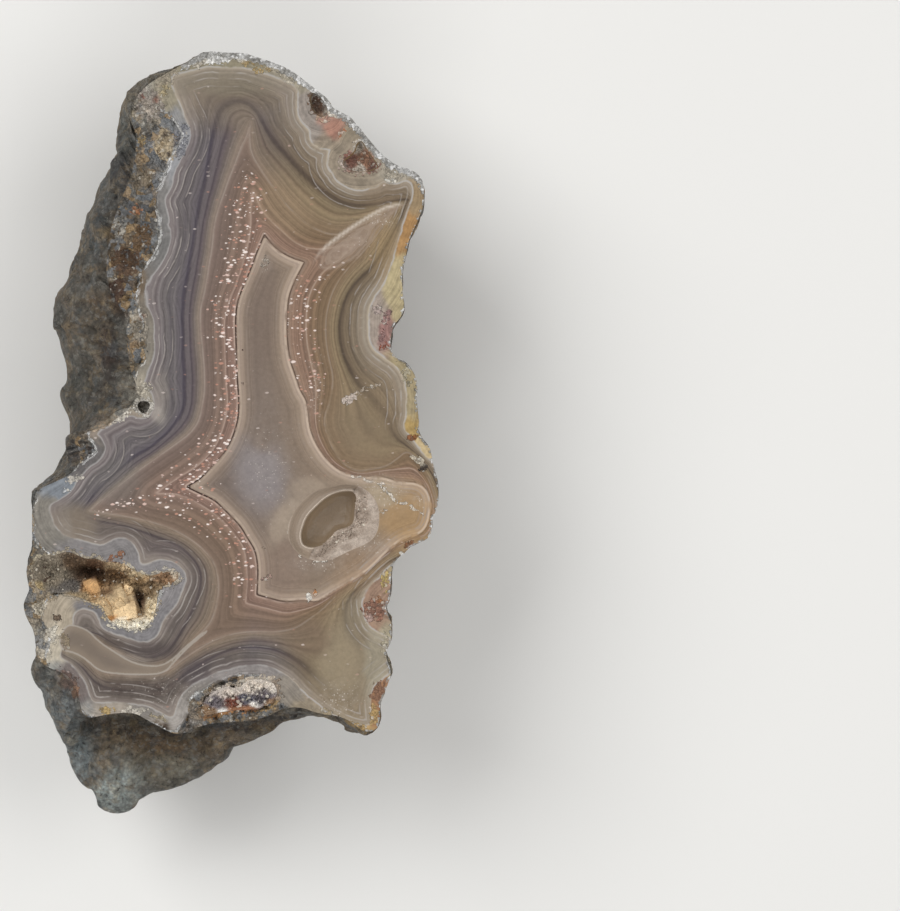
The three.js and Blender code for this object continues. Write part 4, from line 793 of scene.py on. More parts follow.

# Ground colour outside the wall: glassy skin, rind and edges, with painted shade in the recess below the
# face's lower edge
grounds = [
    (-1.0, 39.4, 5.0, 1.6, 0, (138, 130, 110), 1.0), (-6.0, 36.6, 2.6, 2.4, 0, (142, 134, 116), 1.0),
    (-9.4, 35.6, 2.0, 2.6, 0, (150, 145, 134), 1.0), (5.6, 38.2, 2.6, 1.4, -30, (146, 138, 122), 1.0),
    (-6.6, 31.0, 2.4, 4.0, 0, (140, 140, 142), 1.0), (-8.6, 27.0, 2.0, 3.2, 0, (122, 119, 116), 1.0),
    (-8.8, 22.8, 1.6, 3.6, 0, (114, 112, 110), 1.0), (-11.6, 20.6, 1.9, 4.4, 0, (106, 90, 70), 1.0),
    (-11.6, 27.0, 1.6, 3.6, 10, (84, 85, 86), 1.0), (-11.9, 15.0, 1.4, 2.6, 0, (92, 72, 54), 1.0),
    (-10.6, 10.0, 1.2, 3.6, 0, (126, 120, 110), 1.0), (-10.4, 5.2, 1.2, 2.0, 0, (150, 142, 128), 1.0),
    (-13.6, 1.0, 2.6, 1.0, 10, (140, 128, 116), 1.0), (-16.4, -2.4, 1.6, 1.6, 0, (100, 96, 95), 1.0),
    (-19.0, -5.6, 2.6, 1.2, -10, (126, 131, 137), 1.0), (-19.8, -9.4, 1.6, 2.8, 0, (128, 123, 115), 1.0),
    (-13.5, -12.4, 4.6, 1.2, 0, (126, 122, 121), 1.0), (-7.4, -14.6, 3.0, 2.0, 0, (130, 126, 126), 1.0),
    (-8.4, -20.6, 3.0, 1.6, 0, (124, 121, 122), 1.0), (-15.0, -18.6, 2.4, 1.2, 0, (112, 109, 110), 1.0),
    (-19.3, -18.6, 3.0, 2.2, 0, (165, 153, 135), 1.0), (-19.8, -22.2, 2.4, 2.0, 0, (186, 176, 158), 1.0),
    (-16.6, -26.4, 1.8, 2.2, -35, (116, 106, 102), 1.0), (-7.4, -33.4, 5.6, 1.5, -3, (122, 98, 70), 1.0),
    # painted shade: the near-black brown strips just below the face's lower edge stand for the shadowed
    # recess under it
    (-6.6, -32.3, 5.0, 0.7, -4, (50, 36, 26), 1.0), (1.4, -31.6, 3.8, 0.7, 6, (54, 39, 29), 1.0),
    (6.2, -30.2, 2.2, 0.5, 12, (46, 33, 25), 1.0), (-13.4, -31.2, 2.6, 0.6, 0, (70, 56, 44), 1.0),
    (-12.4, -29.6, 2.4, 1.0, 0, (158, 148, 136), 1.0), (-8.4, -29.2, 2.6, 0.9, 0, (132, 126, 120), 1.0),
    (-5.0, -30.6, 2.2, 1.6, 0, (152, 146, 140), 1.0), (-3.2, -28.0, 1.6, 2.0, 0, (130, 124, 118), 1.0),
    (1.6, -25.4, 4.4, 1.0, 0, (136, 130, 127), 1.0), (5.6, -27.6, 1.4, 2.0, 20, (136, 128, 118), 1.0),
    (8.6, -29.4, 2.4, 0.8, -15, (140, 128, 110), 1.0), (13.2, -31.2, 2.6, 1.0, -15, (170, 142, 100), 1.0),
    (8.6, 34.2, 1.2, 2.2, -20, (143, 134, 126), 1.0), (9.6, 34.2, 1.1, 0.9, -20, (160, 126, 112), 1.0),
    (10.9, 32.9, 1.1, 0.8, -20, (164, 124, 108), 1.0), (12.4, 32.2, 1.0, 1.0, 0, (146, 134, 116), 1.0),
    (13.2, 29.4, 3.2, 2.4, -15, (142, 130, 114), 1.0), (17.6, 28.0, 2.2, 1.2, -20, (156, 148, 134), 1.0),
    (19.6, 25.6, 1.2, 2.0, 0, (148, 128, 100), 1.0), (18.8, 21.6, 1.4, 3.2, 14, (162, 126, 84), 1.0),
    (17.9, 16.4, 1.3, 3.2, 0, (172, 158, 124), 1.0), (15.4, 12.6, 1.2, 2.6, 0, (156, 143, 132), 1.0),
    (16.7, 11.4, 0.7, 1.6, 0, (146, 112, 106), 1.0), (18.8, 5.0, 1.4, 3.4, 0, (156, 142, 112), 1.0),
    (19.0, 0.4, 1.6, 1.6, 0, (168, 142, 92), 1.0), (21.4, -5.0, 1.4, 3.4, 0, (170, 152, 122), 1.0),
    (20.2, -1.8, 1.2, 1.4, 0, (188, 168, 130), 1.0), (21.0, -9.6, 1.4, 2.6, -10, (178, 134, 86), 1.0),
    (17.6, -13.4, 1.4, 1.2, 0, (160, 146, 118), 1.0), (15.6, -18.0, 1.6, 2.4, 0, (148, 122, 104), 1.0),
    (17.0, -23.0, 1.0, 2.8, 0, (160, 150, 128), 1.0), (15.8, -28.4, 1.0, 2.4, 0, (150, 112, 82), 1.0),
    (-16.2, 13.0, 2.4, 6.0, 0, (118, 112, 102), 1.0), (-13.2, 8.6, 1.5, 2.8, 0, (70, 50, 38), 1.0),
    (-14.6, 14.0, 1.2, 2.0, 0, (128, 104, 76), 1.0), (-14.6, 23.0, 1.6, 4.6, 0, (88, 95, 97), 1.0),
    (-11.8, 34.0, 1.2, 4.0, 0, (106, 110, 106), 1.0), (-17.4, 4.0, 2.0, 3.6, 0, (106, 104, 96), 1.0),
    (-18.6, -30.0, 2.2, 4.0, 0, (138, 144, 145), 1.0), (-13.2, -34.4, 2.8, 2.0, 0, (146, 138, 124), 1.0),
    (-12.6, -38.4, 2.6, 2.4, 0, (204, 214, 210), 1.0), (-7.0, -35.6, 3.4, 2.2, 0, (150, 142, 124), 1.0),
    (-1.0, -33.0, 3.4, 1.4, 20, (148, 128, 102), 1.0), (4.6, -31.6, 2.4, 1.0, 20, (154, 136, 110), 1.0),
    (-16.6, -35.0, 1.8, 3.0, 0, (162, 172, 174), 1.0),
]

# Broad soft changes of tone in the agate
tones = [
    (6.3, -8.8, 1.5, 3.6, -32, (174, 158, 140), 0.6), (8.4, -5.6, 2.2, 1.0, 10, (172, 156, 138), 0.5),
    (-12.2, -10.4, 2.4, 0.9, -8, (106, 96, 91), 0.6), (16.0, 26.0, 2.2, 1.3, 10, (128, 110, 90), 0.5),
    (15.4, -24.2, 1.3, 4.2, 0, (168, 161, 141), 0.55), (-17.4, -9.6, 1.2, 2.2, 0, (138, 128, 117), 0.6),
    (-8.4, -22.9, 3.2, 1.0, -4, (86, 77, 75), 0.85), (-12.2, -22.1, 1.8, 0.6, -32, (90, 80, 74), 0.8),
    (-6.0, -19.7, 0.8, 1.9, -28, (98, 89, 86), 0.6), (-4.2, -16.0, 0.7, 2.2, 0, (106, 96, 92), 0.6),
    (-7.4, -12.2, 2.4, 0.8, -14, (103, 93, 92), 0.7), (-9.2, -27.0, 5.2, 1.4, 0, (80, 70, 65), 0.85),
    (-3.6, -25.3, 2.4, 1.5, 38, (80, 72, 74), 0.85), (0.8, -24.6, 3.6, 1.0, 0, (86, 78, 78), 0.65),
    (-7.5, 4.4, 0.9, 2.0, 0, (142, 134, 126), 0.6), (-4.2, 26.4, 1.0, 6.0, -6, (96, 89, 91), 0.4),
    (8.4, -29.2, 2.2, 1.0, -25, (110, 91, 73), 0.7), (12.4, -28.6, 2.2, 2.4, 0, (150, 135, 112), 0.7),
    (-7.6, 2.4, 0.8, 1.1, 0, (164, 156, 147), 0.65), (5.6, 24.4, 3.4, 2.2, -45, (150, 129, 103), 0.55),
    (3.2, -4.2, 2.6, 4.0, 12, (138, 131, 131), 0.85), (3.4, 1.6, 1.4, 4.5, 0, (128, 114, 104), 0.5),
    (18.6, -8.6, 3.2, 3.4, 0, (168, 138, 100), 0.85), (13.6, -14.2, 3.0, 1.9, 35, (152, 127, 102), 0.6),
    (5.6, -14.2, 2.6, 3.4, 0, (142, 122, 108), 0.5), (3.4, 13.0, 1.4, 5.0, 0, (124, 108, 97), 0.55),
    (16.6, -6.3, 2.4, 1.7, -25, (170, 152, 126), 0.8), (12.0, -24.4, 3.2, 4.6, 10, (149, 135, 112), 0.9),
    (8.6, -21.8, 2.6, 2.2, 0, (118, 101, 86), 0.65), (13.2, -20.2, 1.4, 3.0, 0, (142, 130, 110), 0.7),
    (14.4, 1.2, 3.4, 3.4, 0, (132, 116, 96), 0.45), (15.5, 2.2, 2.6, 4.6, 0, (142, 124, 100), 0.5),
    (-0.6, 37.6, 5.6, 1.5, 0, (130, 121, 105), 0.65), (0.6, 34.6, 4.2, 1.6, 0, (122, 112, 104), 0.4),
    (-16.4, -9.4, 2.4, 1.9, -20, (128, 116, 103), 0.9), (-12.0, -5.2, 2.6, 2.2, 40, (122, 118, 112), 0.35),
    (-11.4, -24.4, 3.6, 1.2, -14, (137, 127, 117), 0.6), (-16.4, -22.4, 1.5, 1.6, 0, (142, 132, 116), 0.6),
    (16.8, 19.6, 1.9, 4.2, 14, (150, 128, 96), 0.6),
]


# Colour and share of the soft, ragged stains in a list
def soften(items, x, y, edge, warp=0.35):
    wx = x + warp * (grain(x, y, 0 * x + 4, 1.3, 3) - 0.5) * 3
    wy = y + warp * (grain(x + 60, y, 0 * x + 9, 1.3, 3) - 0.5) * 3
    colour, total, alpha = np.zeros((len(x), 3)), np.zeros(len(x)), np.zeros(len(x))
    for cx, cy, rx, ry, turn, rgb, strength in items:
        c, s = math.cos(math.radians(turn)), math.sin(math.radians(turn))
        dx, dy = wx - cx, wy - cy
        away = np.hypot((dx * c + dy * s) / rx, (-dx * s + dy * c) / ry)
        weight = (0.5 + away) ** -9.0
        colour += weight[:, None] * np.array(tint(*rgb)[:3])
        total += weight
        alpha = np.maximum(alpha, strength * (1 - ramp(1 - edge, 1 + edge, away)))
    return np.concatenate([colour / total[:, None], alpha[:, None]], axis=1)


# Numbers that the materials read: how far the agate had grown at each place, and which stains lie on it
def giveGrowth(mesh):
    p = placesOf(mesh)
    x, y, z = p.T
    wall = wallAt(x, y)
    lines = [wall] + [depthIn(c, x, y) for c in (darkCurve, paleCurve, thinCurve, coreCurve)]
    growth = np.where(wall < 0, wall / 4, 0)
    for i in range(5):
        within = lines[i] > 0
        if i < 4:
            step = i + np.abs(lines[i]) / (np.abs(lines[i]) + np.abs(lines[i + 1]) + 1e-6)
        else:
            step = 4 + np.minimum(lines[i] / 6, 0.99)
        growth = np.where(within, step, growth)
    giveNumber(mesh, "growth", growth)
    giveNumber(mesh, "wallDepth", wall)
    giveNumber(mesh, "coreDepth", lines[4])
    giveNumber(mesh, "thinDepth", lines[3])
    giveNumber(mesh, "paleDepth", lines[2])
    warm = ramp(-0.25, 0.30, (x - 3.5) / 20)
    warm = np.maximum(warm, ramp(31, 36, y) * 0.75)
    warm = mix(warm, warm * 0.55, ramp(-12, -19, y) * ramp(9, 4, x))
    warm = np.maximum(warm, 0.4 * ramp(-6.5, -9.5, y) * ramp(4, 0, x))
    giveNumber(mesh, "warmth", warm)
    giveNumber(mesh, "mouth", depthIn(rounded(vugMouth, 2), x, y))
    calm = [heap(x, y, *place) for place in [
        (11.8, -25.5, 3.8, 6.2), (15.0, -1.0, 3.2, 3.6), (-16.4, -9.4, 2.8, 2.2), (-2.4, 36.8, 2.6, 1.4)]]
    giveNumber(mesh, "calm", np.clip(np.maximum.reduce(calm) * 1.4, 0, 1))
    frost = [share * heap(x, y, *place) for share, place in [
        (1.0, (16.0, -6.3, 3.0, 1.9)), (1.0, (14.9, -11.6, 1.8, 1.6)), (0.9, (9.6, -13.7, 3.2, 0.9)),
        (0.5, (13.4, 20.9, 2.2, 1.3)), (1.3, (15.9, 22.9, 1.5, 0.8)), (0.8, (11.5, -28.4, 2.8, 2.2)),
        (0.55, (-7.0, -27.2, 6.0, 1.9)), (0.55, (4.0, -3.4, 3.4, 6.0)), (1.2, (3.7, 18.3, 0.6, 0.9)),
        (1.0, (19.8, -7.0, 1.4, 0.9)), (0.7, (9.0, 5.0, 1.0, 5.0)), (0.6, (-9.6, 29.0, 2.4, 7.0))]]
    giveNumber(mesh, "frost", np.clip(np.maximum.reduce(frost), 0, 1.2))
    giveNumber(mesh, "lens", depthIn(rounded(lensLine, 2), x, y))
    wedge = depthIn(rounded(wedgeLine, 1), x, y)
    above = y - 17.0 - (x - 8.2) * 0.72
    giveNumber(mesh, "wedge", np.clip(wedge * 0.55 + 0.5, 0, 1) * ramp(6.5, 11.5, x))
    wedgeTop = np.exp(-((wedge - 0.05) / 0.15) ** 2)
    giveNumber(mesh, "wedgeTop", wedgeTop * ramp(0.2, 0.8, above) * ramp(8.5, 10.5, x))
    band = ramp(2.1, 2.7, growth) * ramp(4.04, 3.96, growth)
    left = band * (1 - 0.75 * ramp(-3.5, -6, x)) * ramp(4.5, 2.0, x) * ramp(-8.5, -5, y)
    left = left * (1 - 0.55 * ramp(18, 6, y) * ramp(3.2, 2.6, growth))
    right = 0.55 * band * ramp(5, 6, x) * ramp(1, 4, y) * ramp(19, 15, y)
    low = 0.62 * band * ramp(5, 3, x) * ramp(-4, -7, y) * ramp(-18, -15, y)
    cusp = np.exp(-((y - np.interp(x, [-15, -4.7], [-8.5, -5.4])) / 0.42) ** 2)
    cusp = cusp * ramp(-15.5, -13.5, x) * ramp(0, -3, x) * 1.15
    giveNumber(mesh, "speckle", np.clip(np.maximum.reduce([left, cusp, right, low]), 0, 1))
    spotColour = soften(spots, x, y, 0.35)
    for outline, width, strength in [(hollowRim, 0.42, 0.85), (pocketRim, 0.5, 0.9), (notchTop, 0.4, 0.8),
                                     (notchRight, 0.4, 0.8)]:
        away = np.maximum(-depthIn(rounded(outline, 1), x, y), 0)
        crust = strength * np.exp(-(away / (width * (0.4 + 1.2 * grain(x, y, 0 * x + 12, 1.4, 2)))) ** 2)
        spotColour[:, 3] = np.maximum(spotColour[:, 3], crust)
    upright = readPoints(mesh, "normal")[:, 2]
    steep = ramp(0.55, 0.15, upright + 0.3 * (grain(x, y, z, 2.2, 3) - 0.5))
    steep[z > 23.93] = 0
    spotColour[:, 3] *= ramp(15, 20, z) * (1 - steep)
    giveColour(mesh, "spot", spotColour)
    giveColour(mesh, "tone", soften(tones, x, y, 0.6))
    # the sides and the underside: grey and brown, with ochre down the right side
    ground = soften(grounds, x, y, 0.8, 0.8)
    ochre = (ramp(4, 13, x) * 0.85 + 0.35) * ramp(0.40, 0.62, grain(x, y, z, 8.0, 3))
    brown = ramp(0.48, 0.66, grain(x - 50, y, z, 6.0, 4))
    soil = np.clip(heap(x, y, -13.2, 9.0, 4.0, 10.0) * 1.4, 0, 1)
    soil = soil * ramp(0.38, 0.56, grain(x + 20, y, z, 3.0, 3))
    blue = np.clip(heap(x, y, -15.5, -33.5, 7.0, 10.0) * 1.5, 0, 1)
    blue = blue * ramp(0.30, 0.55, grain(x + 80, y, z, 3.4, 3))
    side = np.array(tint(116, 115, 108)[:3])
    for rgb, share in [((92, 72, 54), 0.8 * brown), ((158, 132, 92), ochre), ((104, 79, 57), soil),
                       ((146, 152, 152), blue)]:
        side = mix(side, np.array(tint(*rgb)[:3]), share[:, None])
    ground[:, :3] = mix(ground[:, :3], side, steep[:, None])
    ground[:, 3] = np.maximum(ground[:, 3], steep)
    giveColour(mesh, "ground", ground)
    giveNumber(mesh, "crumble", crumbleAt(x, y, wall))
    edge = depthIn(faceLine, x, y)
    upper = np.clip(ramp(30, 38, y) + ramp(9, 12, x) * ramp(24, 28, y), 0, 1) * ramp(-7, -4, x)
    sides = 0.45 * ramp(11, 14, x) * ramp(30, 24, y)
    rim = np.exp(-(np.maximum(edge, 0) / (0.35 + 0.35 * upper)) ** 2) * np.maximum(upper, sides)
    between = crumbleAt(x, y, wall)
    seam = 4 * between * (1 - between) * ramp(0.3, 0.6, grain(x, y, 0 * x + 33, 2.4, 2))
    rim = np.maximum(rim, 0.85 * seam) * (1 - ramp(23.9, 23.0, z) * steep)
    giveNumber(mesh, "rim", rim)
    lobes = np.minimum(-depthIn(rounded(notchTop, 1), x, y), -depthIn(rounded(notchRight, 1), x, y))
    giveNumber(mesh, "lobeDepth", lobes)


# Node helpers
bench = {}  # holds the node tree that is being built


# A number or a colour in that tree, so that sums are written as sums
class Wire:
    def __init__(self, socket):
        self.socket = socket

    def __add__(self, other):
        return maths("ADD", self, other)

    def __sub__(self, other):
        return maths("SUBTRACT", self, other)

    def __rsub__(self, other):
        return maths("SUBTRACT", other, self)

    def __mul__(self, other):
        return maths("MULTIPLY", self, other)

    def __truediv__(self, other):
        return maths("DIVIDE", self, other)

    def __abs__(self):
        return maths("ABSOLUTE", self)

    __radd__ = __add__
    __rmul__ = __mul__


def plug(value, socket):
    if isinstance(value, Wire):
        bench["tree"].links.new(value.socket, socket)
    else:
        socket.default_value = value


def addNode(kind, inputs=None, **settings):
    node = bench["tree"].nodes.new(kind)
    for name, value in settings.items():
        setattr(node, name, value)
    for key, value in (inputs or {}).items():
        plug(value, node.inputs[key])
    return node


def wire(node, key=0):
    return Wire(node.outputs[key])


def maths(how, a, b=0.0, clamp=False):
    return wire(addNode("ShaderNodeMath", {0: a, 1: b}, operation=how, use_clamp=clamp))


def stepUp(value, low, high):
    node = addNode("ShaderNodeMapRange", {"Value": value, "From Min": low, "From Max": high},
                   interpolation_type="SMOOTHSTEP")
    return wire(node, "Result")


# One colour over another; a colour given as three numbers from 0 to 255 is turned into Blender's own
def blend(share, a, b, how="MIX"):
    a, b = [tint(*colour) if isinstance(colour, tuple) else colour for colour in (a, b)]
    return wire(addNode("ShaderNodeMix", {0: share, 6: a, 7: b}, data_type="RGBA", blend_type=how), 2)


def darken(colour, number):
    grey = wire(addNode("ShaderNodeCombineColor", {0: number, 1: number, 2: number}))
    return blend(1.0, colour, grey, "MULTIPLY")


def colourSteps(value, stops):
    node = addNode("ShaderNodeValToRGB", {"Fac": value})
    items = node.color_ramp.elements
    while len(items) < len(stops):
        items.new(0.5)
    for item, (place, rgb) in zip(items, stops):
        item.position = place
        item.color = tint(*rgb)
    return wire(node, "Color")


def readNumber(name):
    return wire(addNode("ShaderNodeAttribute", attribute_name=name), "Fac")


def readColour(name):
    node = addNode("ShaderNodeAttribute", attribute_name=name)
    return wire(node, "Color"), wire(node, "Alpha")


# Object position in millimetres
def placeInMm():
    place = wire(addNode("ShaderNodeTexCoord"), "Object")
    return wire(addNode("ShaderNodeVectorMath", {0: place, "Scale": 1000.0}, operation="SCALE"))


def cloud(place, size, detail=3.0, rough=0.55, warp=0.0):
    node = addNode("ShaderNodeTexNoise", {"Vector": place, "Scale": 1.0 / size, "Detail": detail,
                                          "Roughness": rough, "Distortion": warp})
    return wire(node, "Fac")


# Evenly strong stripes along a number, from -0.5 to 0.5
def stripes(value, scale, detail=2.0):
    node = addNode("ShaderNodeTexNoise", {"W": value, "Scale": scale, "Detail": detail, "Roughness": 0.6},
                   noise_dimensions="1D")
    return stepUp(wire(node, "Fac"), 0.33, 0.67) - 0.5


def newMaterial(name):
    material = bpy.data.materials.new(name)
    material.use_nodes = True
    bench["tree"] = material.node_tree
    material.node_tree.nodes.clear()
    skin = addNode("ShaderNodeBsdfPrincipled")
    plug(wire(skin), addNode("ShaderNodeOutputMaterial").inputs["Surface"])
    return material, skin


def bump(skin, height, strength, distance):
    inputs = {"Height": height, "Strength": strength, "Distance": distance}
    plug(wire(addNode("ShaderNodeBump", inputs)), skin.inputs["Normal"])


# Band colours by growth, from the wall (0) to the core (1): the grey-violet left side, then the olive right
coolBands = [
    (0.000, (150, 146, 144)), (0.012, (112, 104, 103)), (0.030, (124, 116, 114)), (0.045, (106, 97, 97)),
    (0.062, (126, 119, 118)), (0.080, (102, 95, 95)), (0.100, (114, 108, 107)), (0.120, (98, 92, 94)),
    (0.145, (112, 106, 106)), (0.165, (95, 89, 92)), (0.182, (96, 90, 94)), (0.192, (76, 70, 78)),
    (0.206, (80, 73, 80)), (0.222, (102, 94, 96)), (0.252, (104, 96, 97)), (0.275, (86, 77, 81)),
    (0.300, (98, 88, 88)), (0.330, (118, 107, 101)), (0.360, (129, 116, 105)), (0.388, (134, 119, 108)),
    (0.398, (152, 136, 125)), (0.410, (124, 107, 98)), (0.460, (116, 99, 90)), (0.530, (128, 108, 96)),
    (0.590, (132, 110, 98)), (0.600, (152, 130, 118)), (0.612, (126, 103, 92)), (0.775, (140, 114, 102)),
    (0.790, (96, 76, 66)), (0.808, (158, 141, 126)), (0.826, (136, 120, 107)), (0.862, (118, 105, 97)),
]
warmBands = [
    (0.000, (170, 158, 140)), (0.020, (140, 128, 113)), (0.040, (150, 139, 124)), (0.058, (134, 121, 106)),
    (0.075, (144, 131, 114)), (0.095, (126, 112, 95)), (0.115, (134, 120, 102)), (0.135, (114, 100, 84)),
    (0.160, (120, 105, 86)), (0.185, (100, 86, 71)), (0.205, (88, 75, 63)), (0.225, (112, 97, 78)),
    (0.250, (126, 111, 88)), (0.280, (122, 105, 83)), (0.310, (142, 124, 98)), (0.345, (132, 113, 90)),
    (0.385, (124, 104, 82)), (0.400, (142, 122, 99)), (0.415, (124, 103, 81)), (0.470, (123, 102, 80)),
    (0.530, (129, 106, 84)), (0.590, (131, 106, 87)), (0.602, (152, 131, 113)), (0.615, (132, 107, 90)),
    (0.700, (138, 112, 95)), (0.760, (142, 117, 99)), (0.785, (154, 132, 114)), (0.797, (116, 94, 79)),
    (0.808, (170, 152, 137)), (0.828, (156, 138, 120)), (0.860, (136, 119, 103)), (1.000, (128, 114, 102)),
]


# Irregular cells: three random numbers for each, and the distance from its middle
def cells(place, scale):
    cell = addNode("ShaderNodeTexVoronoi", {"Vector": place, "Scale": scale, "Randomness": 1.0})
    pick = addNode("ShaderNodeSeparateColor", {0: wire(cell, "Color")})
    return wire(pick), wire(pick, 1), wire(pick, 2), wire(cell, "Distance")


# Two random numbers and the distance from the middle for each of many ragged grains
def grainsOf(place, size, ragged=0.7):
    bent = addNode("ShaderNodeTexNoise", {"Vector": place, "Scale": 1.3 / size, "Detail": 1.0})
    bent = addNode("ShaderNodeVectorMath", {0: wire(bent, "Color"), "Scale": size * ragged},
                   operation="SCALE")
    bent = wire(addNode("ShaderNodeVectorMath", {0: place, 1: wire(bent)}, operation="ADD"))
    first, second, _, away = cells(bent, 1.0 / size)
    return first, second, away


# A colour broken up into grains: each its own brightness, darker towards its edge and between them as painted
# shade, a few pale ones as pale crumbs and painted glints, and a few brown
def granular(colour, found, spread, pale, palest=(206, 199, 186), dark=0.6):
    first, second, away = found
    tone = first * (spread * 2) + (1.06 - spread)
    # painted shade: each grain darkens towards its edge, darkest in the gaps between grains
    tone *= 1.12 - away * 0.55
    colour = darken(colour, tone)
    # the few pale grains are partly pale crumbs, partly painted glints
    colour = blend(stepUp(second, 1.0 - pale, 1.02 - pale) * 0.7, colour, palest)
    return blend(stepUp(second, 0.1, 0.08) * dark, colour, (58, 42, 32))


def makeAgate():
    material, skin = newMaterial("polishedAgate")
    place = placeInMm()
    growth = readNumber("growth")
    wall = readNumber("wallDepth")
    warmth = readNumber("warmth")
    wobble = cloud(place, 2.6, 4.0) - 0.5
    fine = cloud(place, 0.42, 3.0, 0.65) - 0.5
    grown = growth + wobble * 0.1
    grown += fine * 0.02
    scaled = grown / 5.0
    colour = blend(warmth, colourSteps(scaled, coolBands), colourSteps(scaled, warmBands))
    tone, toneShare = readColour("tone")
    colour = blend(toneShare, colour, tone)
    # laminae: fine scalloped lines at even steps from the wall and the core, and broader ones by growth
    fromWall = wall + wobble * 0.22
    byNotch = readNumber("lobeDepth") + wobble * 0.5
    nearNotch = stepUp(byNotch, 3.4, 2.2) * stepUp(wall, 0.9, 0.2)
    fromWall = wire(addNode("ShaderNodeMix", {0: nearNotch, 2: fromWall, 3: byNotch}))
    lively = readNumber("calm") * -0.85 + 1.0
    hair = stripes(fromWall, 2.5, 2.0) * lively
    broad = stripes(grown, 5.2, 3.0) * lively
    coreDepth = readNumber("coreDepth")
    inner = stripes(coreDepth + fine * 0.1, 2.6, 2.0)
    coreRim = 1.0 - stepUp(abs(coreDepth), 0.8, 2.6)
    nearWall = 1.0 - stepUp(wall, 1.6, 5.2)
    nearWall *= warmth * -0.4 + 1.0
    coreCalm = 1.0 - stepUp(growth, 3.95, 4.15) * 0.75
    shade = hair * (nearWall * 0.27 + 0.03)
    shade += broad * (warmth * 0.05 + 0.28)
    shade *= coreCalm
    shade += inner * coreRim * 0.26
    shade += fine * 0.4
    shade += wobble * 0.16 + 1.0
    colour = darken(colour, shade)
    # thin, sharp growth lines of a constant width
    gap = stepUp(cloud(place, 1.9, 2.0), 0.36, 0.52)
    darker = warmth * -0.6 + 0.95
    outerLine = warmth * -0.8 + 0.8
    innerLine = warmth * 0.6 + 0.12
    fading = stepUp(cloud(place, 5.0, 2.0), 0.38, 0.58) * 0.6
    for name, width, shift, rgb, amount in [("coreDepth", 0.08, -0.17, (192, 168, 154), outerLine),
                                            ("coreDepth", 0.07, 0.0, (58, 43, 36), darker),
                                            ("coreDepth", 0.09, 0.2, (204, 184, 164), innerLine),
                                            ("coreDepth", 0.07, 0.75, (168, 150, 134), innerLine),
                                            ("coreDepth", 0.07, 0.48, (156, 138, 126), 0.35),
                                            ("coreDepth", 0.07, 1.15, (152, 137, 126), 0.3),
                                            ("thinDepth", 0.05, 0.0, (176, 154, 141), 0.42),
                                            ("paleDepth", 0.07, 0.0, (168, 156, 147), 0.22),
                                            ("wallDepth", 0.06, 0.62, (176, 170, 164), fading),
                                            ("wallDepth", 0.05, 1.25, (170, 162, 156), fading),
                                            ("wallDepth", 0.05, 2.1, (160, 152, 146), fading)]:
        off = abs(readNumber(name) - shift)
        off += fine * 0.14
        mark = 1.0 - stepUp(off, width * 0.5, width * 1.8)
        mark = mark * gap * amount
        colour = blend(mark, colour, rgb)
    # glassy skin outside the wall, with a thin pale line where the bands begin
    ground, _ = readColour("ground")
    milk = stepUp(cloud(place, 0.9, 5.0, 0.65), 0.36, 0.66)
    skinMottle = milk * 0.26 + 0.9
    skinMottle += hair * 0.38
    skinMottle += fine * 0.5
    outwards = wall + fine * 0.16
    skinMottle += stepUp(outwards, -0.65, -0.05) * 0.22
    skinColour = darken(ground, skinMottle)
    colour = blend(stepUp(outwards, 0.1, -0.14), colour, skinColour)
    border = 1.0 - stepUp(abs(outwards), 0.03, 0.16)
    colour = blend(border * gap * (warmth * 0.4 + 0.28), colour, (180, 177, 174))
    # smooth lens between two pale lines at the lower left
    lens = readNumber("lens") + fine * 0.12
    lensColour = blend(stepUp(lens + wobble, -0.2, 1.2), (140, 126, 111), (120, 108, 97))
    colour = blend(stepUp(lens, -0.06, 0.1) * 0.9, colour, lensColour)
    outline = 1.0 - stepUp(abs(lens), 0.04, 0.14)
    colour = blend(outline * 0.6, colour, (176, 168, 158))
    # healed crack with feathery ends
    feather = readNumber("wedge") + wobble * 0.9
    streak = stripes(readNumber("wedge") + wobble * 0.7, 7.0, 3.0)
    feather += streak * 0.3
    wedgeColour = blend(streak * 0.6 + 0.5, (142, 123, 107), (168, 150, 134))
    colour = blend(stepUp(feather, 0.3, 0.95) * 0.75, colour, wedgeColour)
    colour = blend(readNumber("wedgeTop") * 0.75, colour, (216, 204, 190))
    # pink and white specks
    flat = wire(addNode("ShaderNodeMapping", {"Vector": place, "Scale": (0.8, 1.5, 0.0)}))
    flat = wire(addNode("ShaderNodeVectorMath", {0: flat, 1: fine * 0.3}, operation="ADD"))
    for size, limit, level in [(2.6, 0.26, 0.48), (1.5, 0.2, 0.66)]:
        chance, pale, breadth, away = cells(flat, size)
        wanted = stepUp(chance + readNumber("speckle") * 1.05, level + 0.45, level + 0.6)
        dot = stepUp(away / (breadth * limit + limit * 0.6), 1.25, 0.6)
        dotColour = blend(stepUp(pale, 0.2, 0.8), (190, 140, 121), (250, 236, 229))
        colour = blend(dot * wanted * 0.9, colour, dotColour)
    # sugary points
    frost = readNumber("frost")
    chance, breadth, _, away = cells(place, 5.6)
    wanted = stepUp(chance + frost * 0.55, 0.95, 1.45)
    dot = stepUp(away / (breadth * 0.35 + 0.2), 1.2, 0.2) * wanted
    haze = milk * frost * 0.12
    colour = blend(maths("ADD", dot * 0.75, haze, clamp=True), colour, (226, 217, 206))
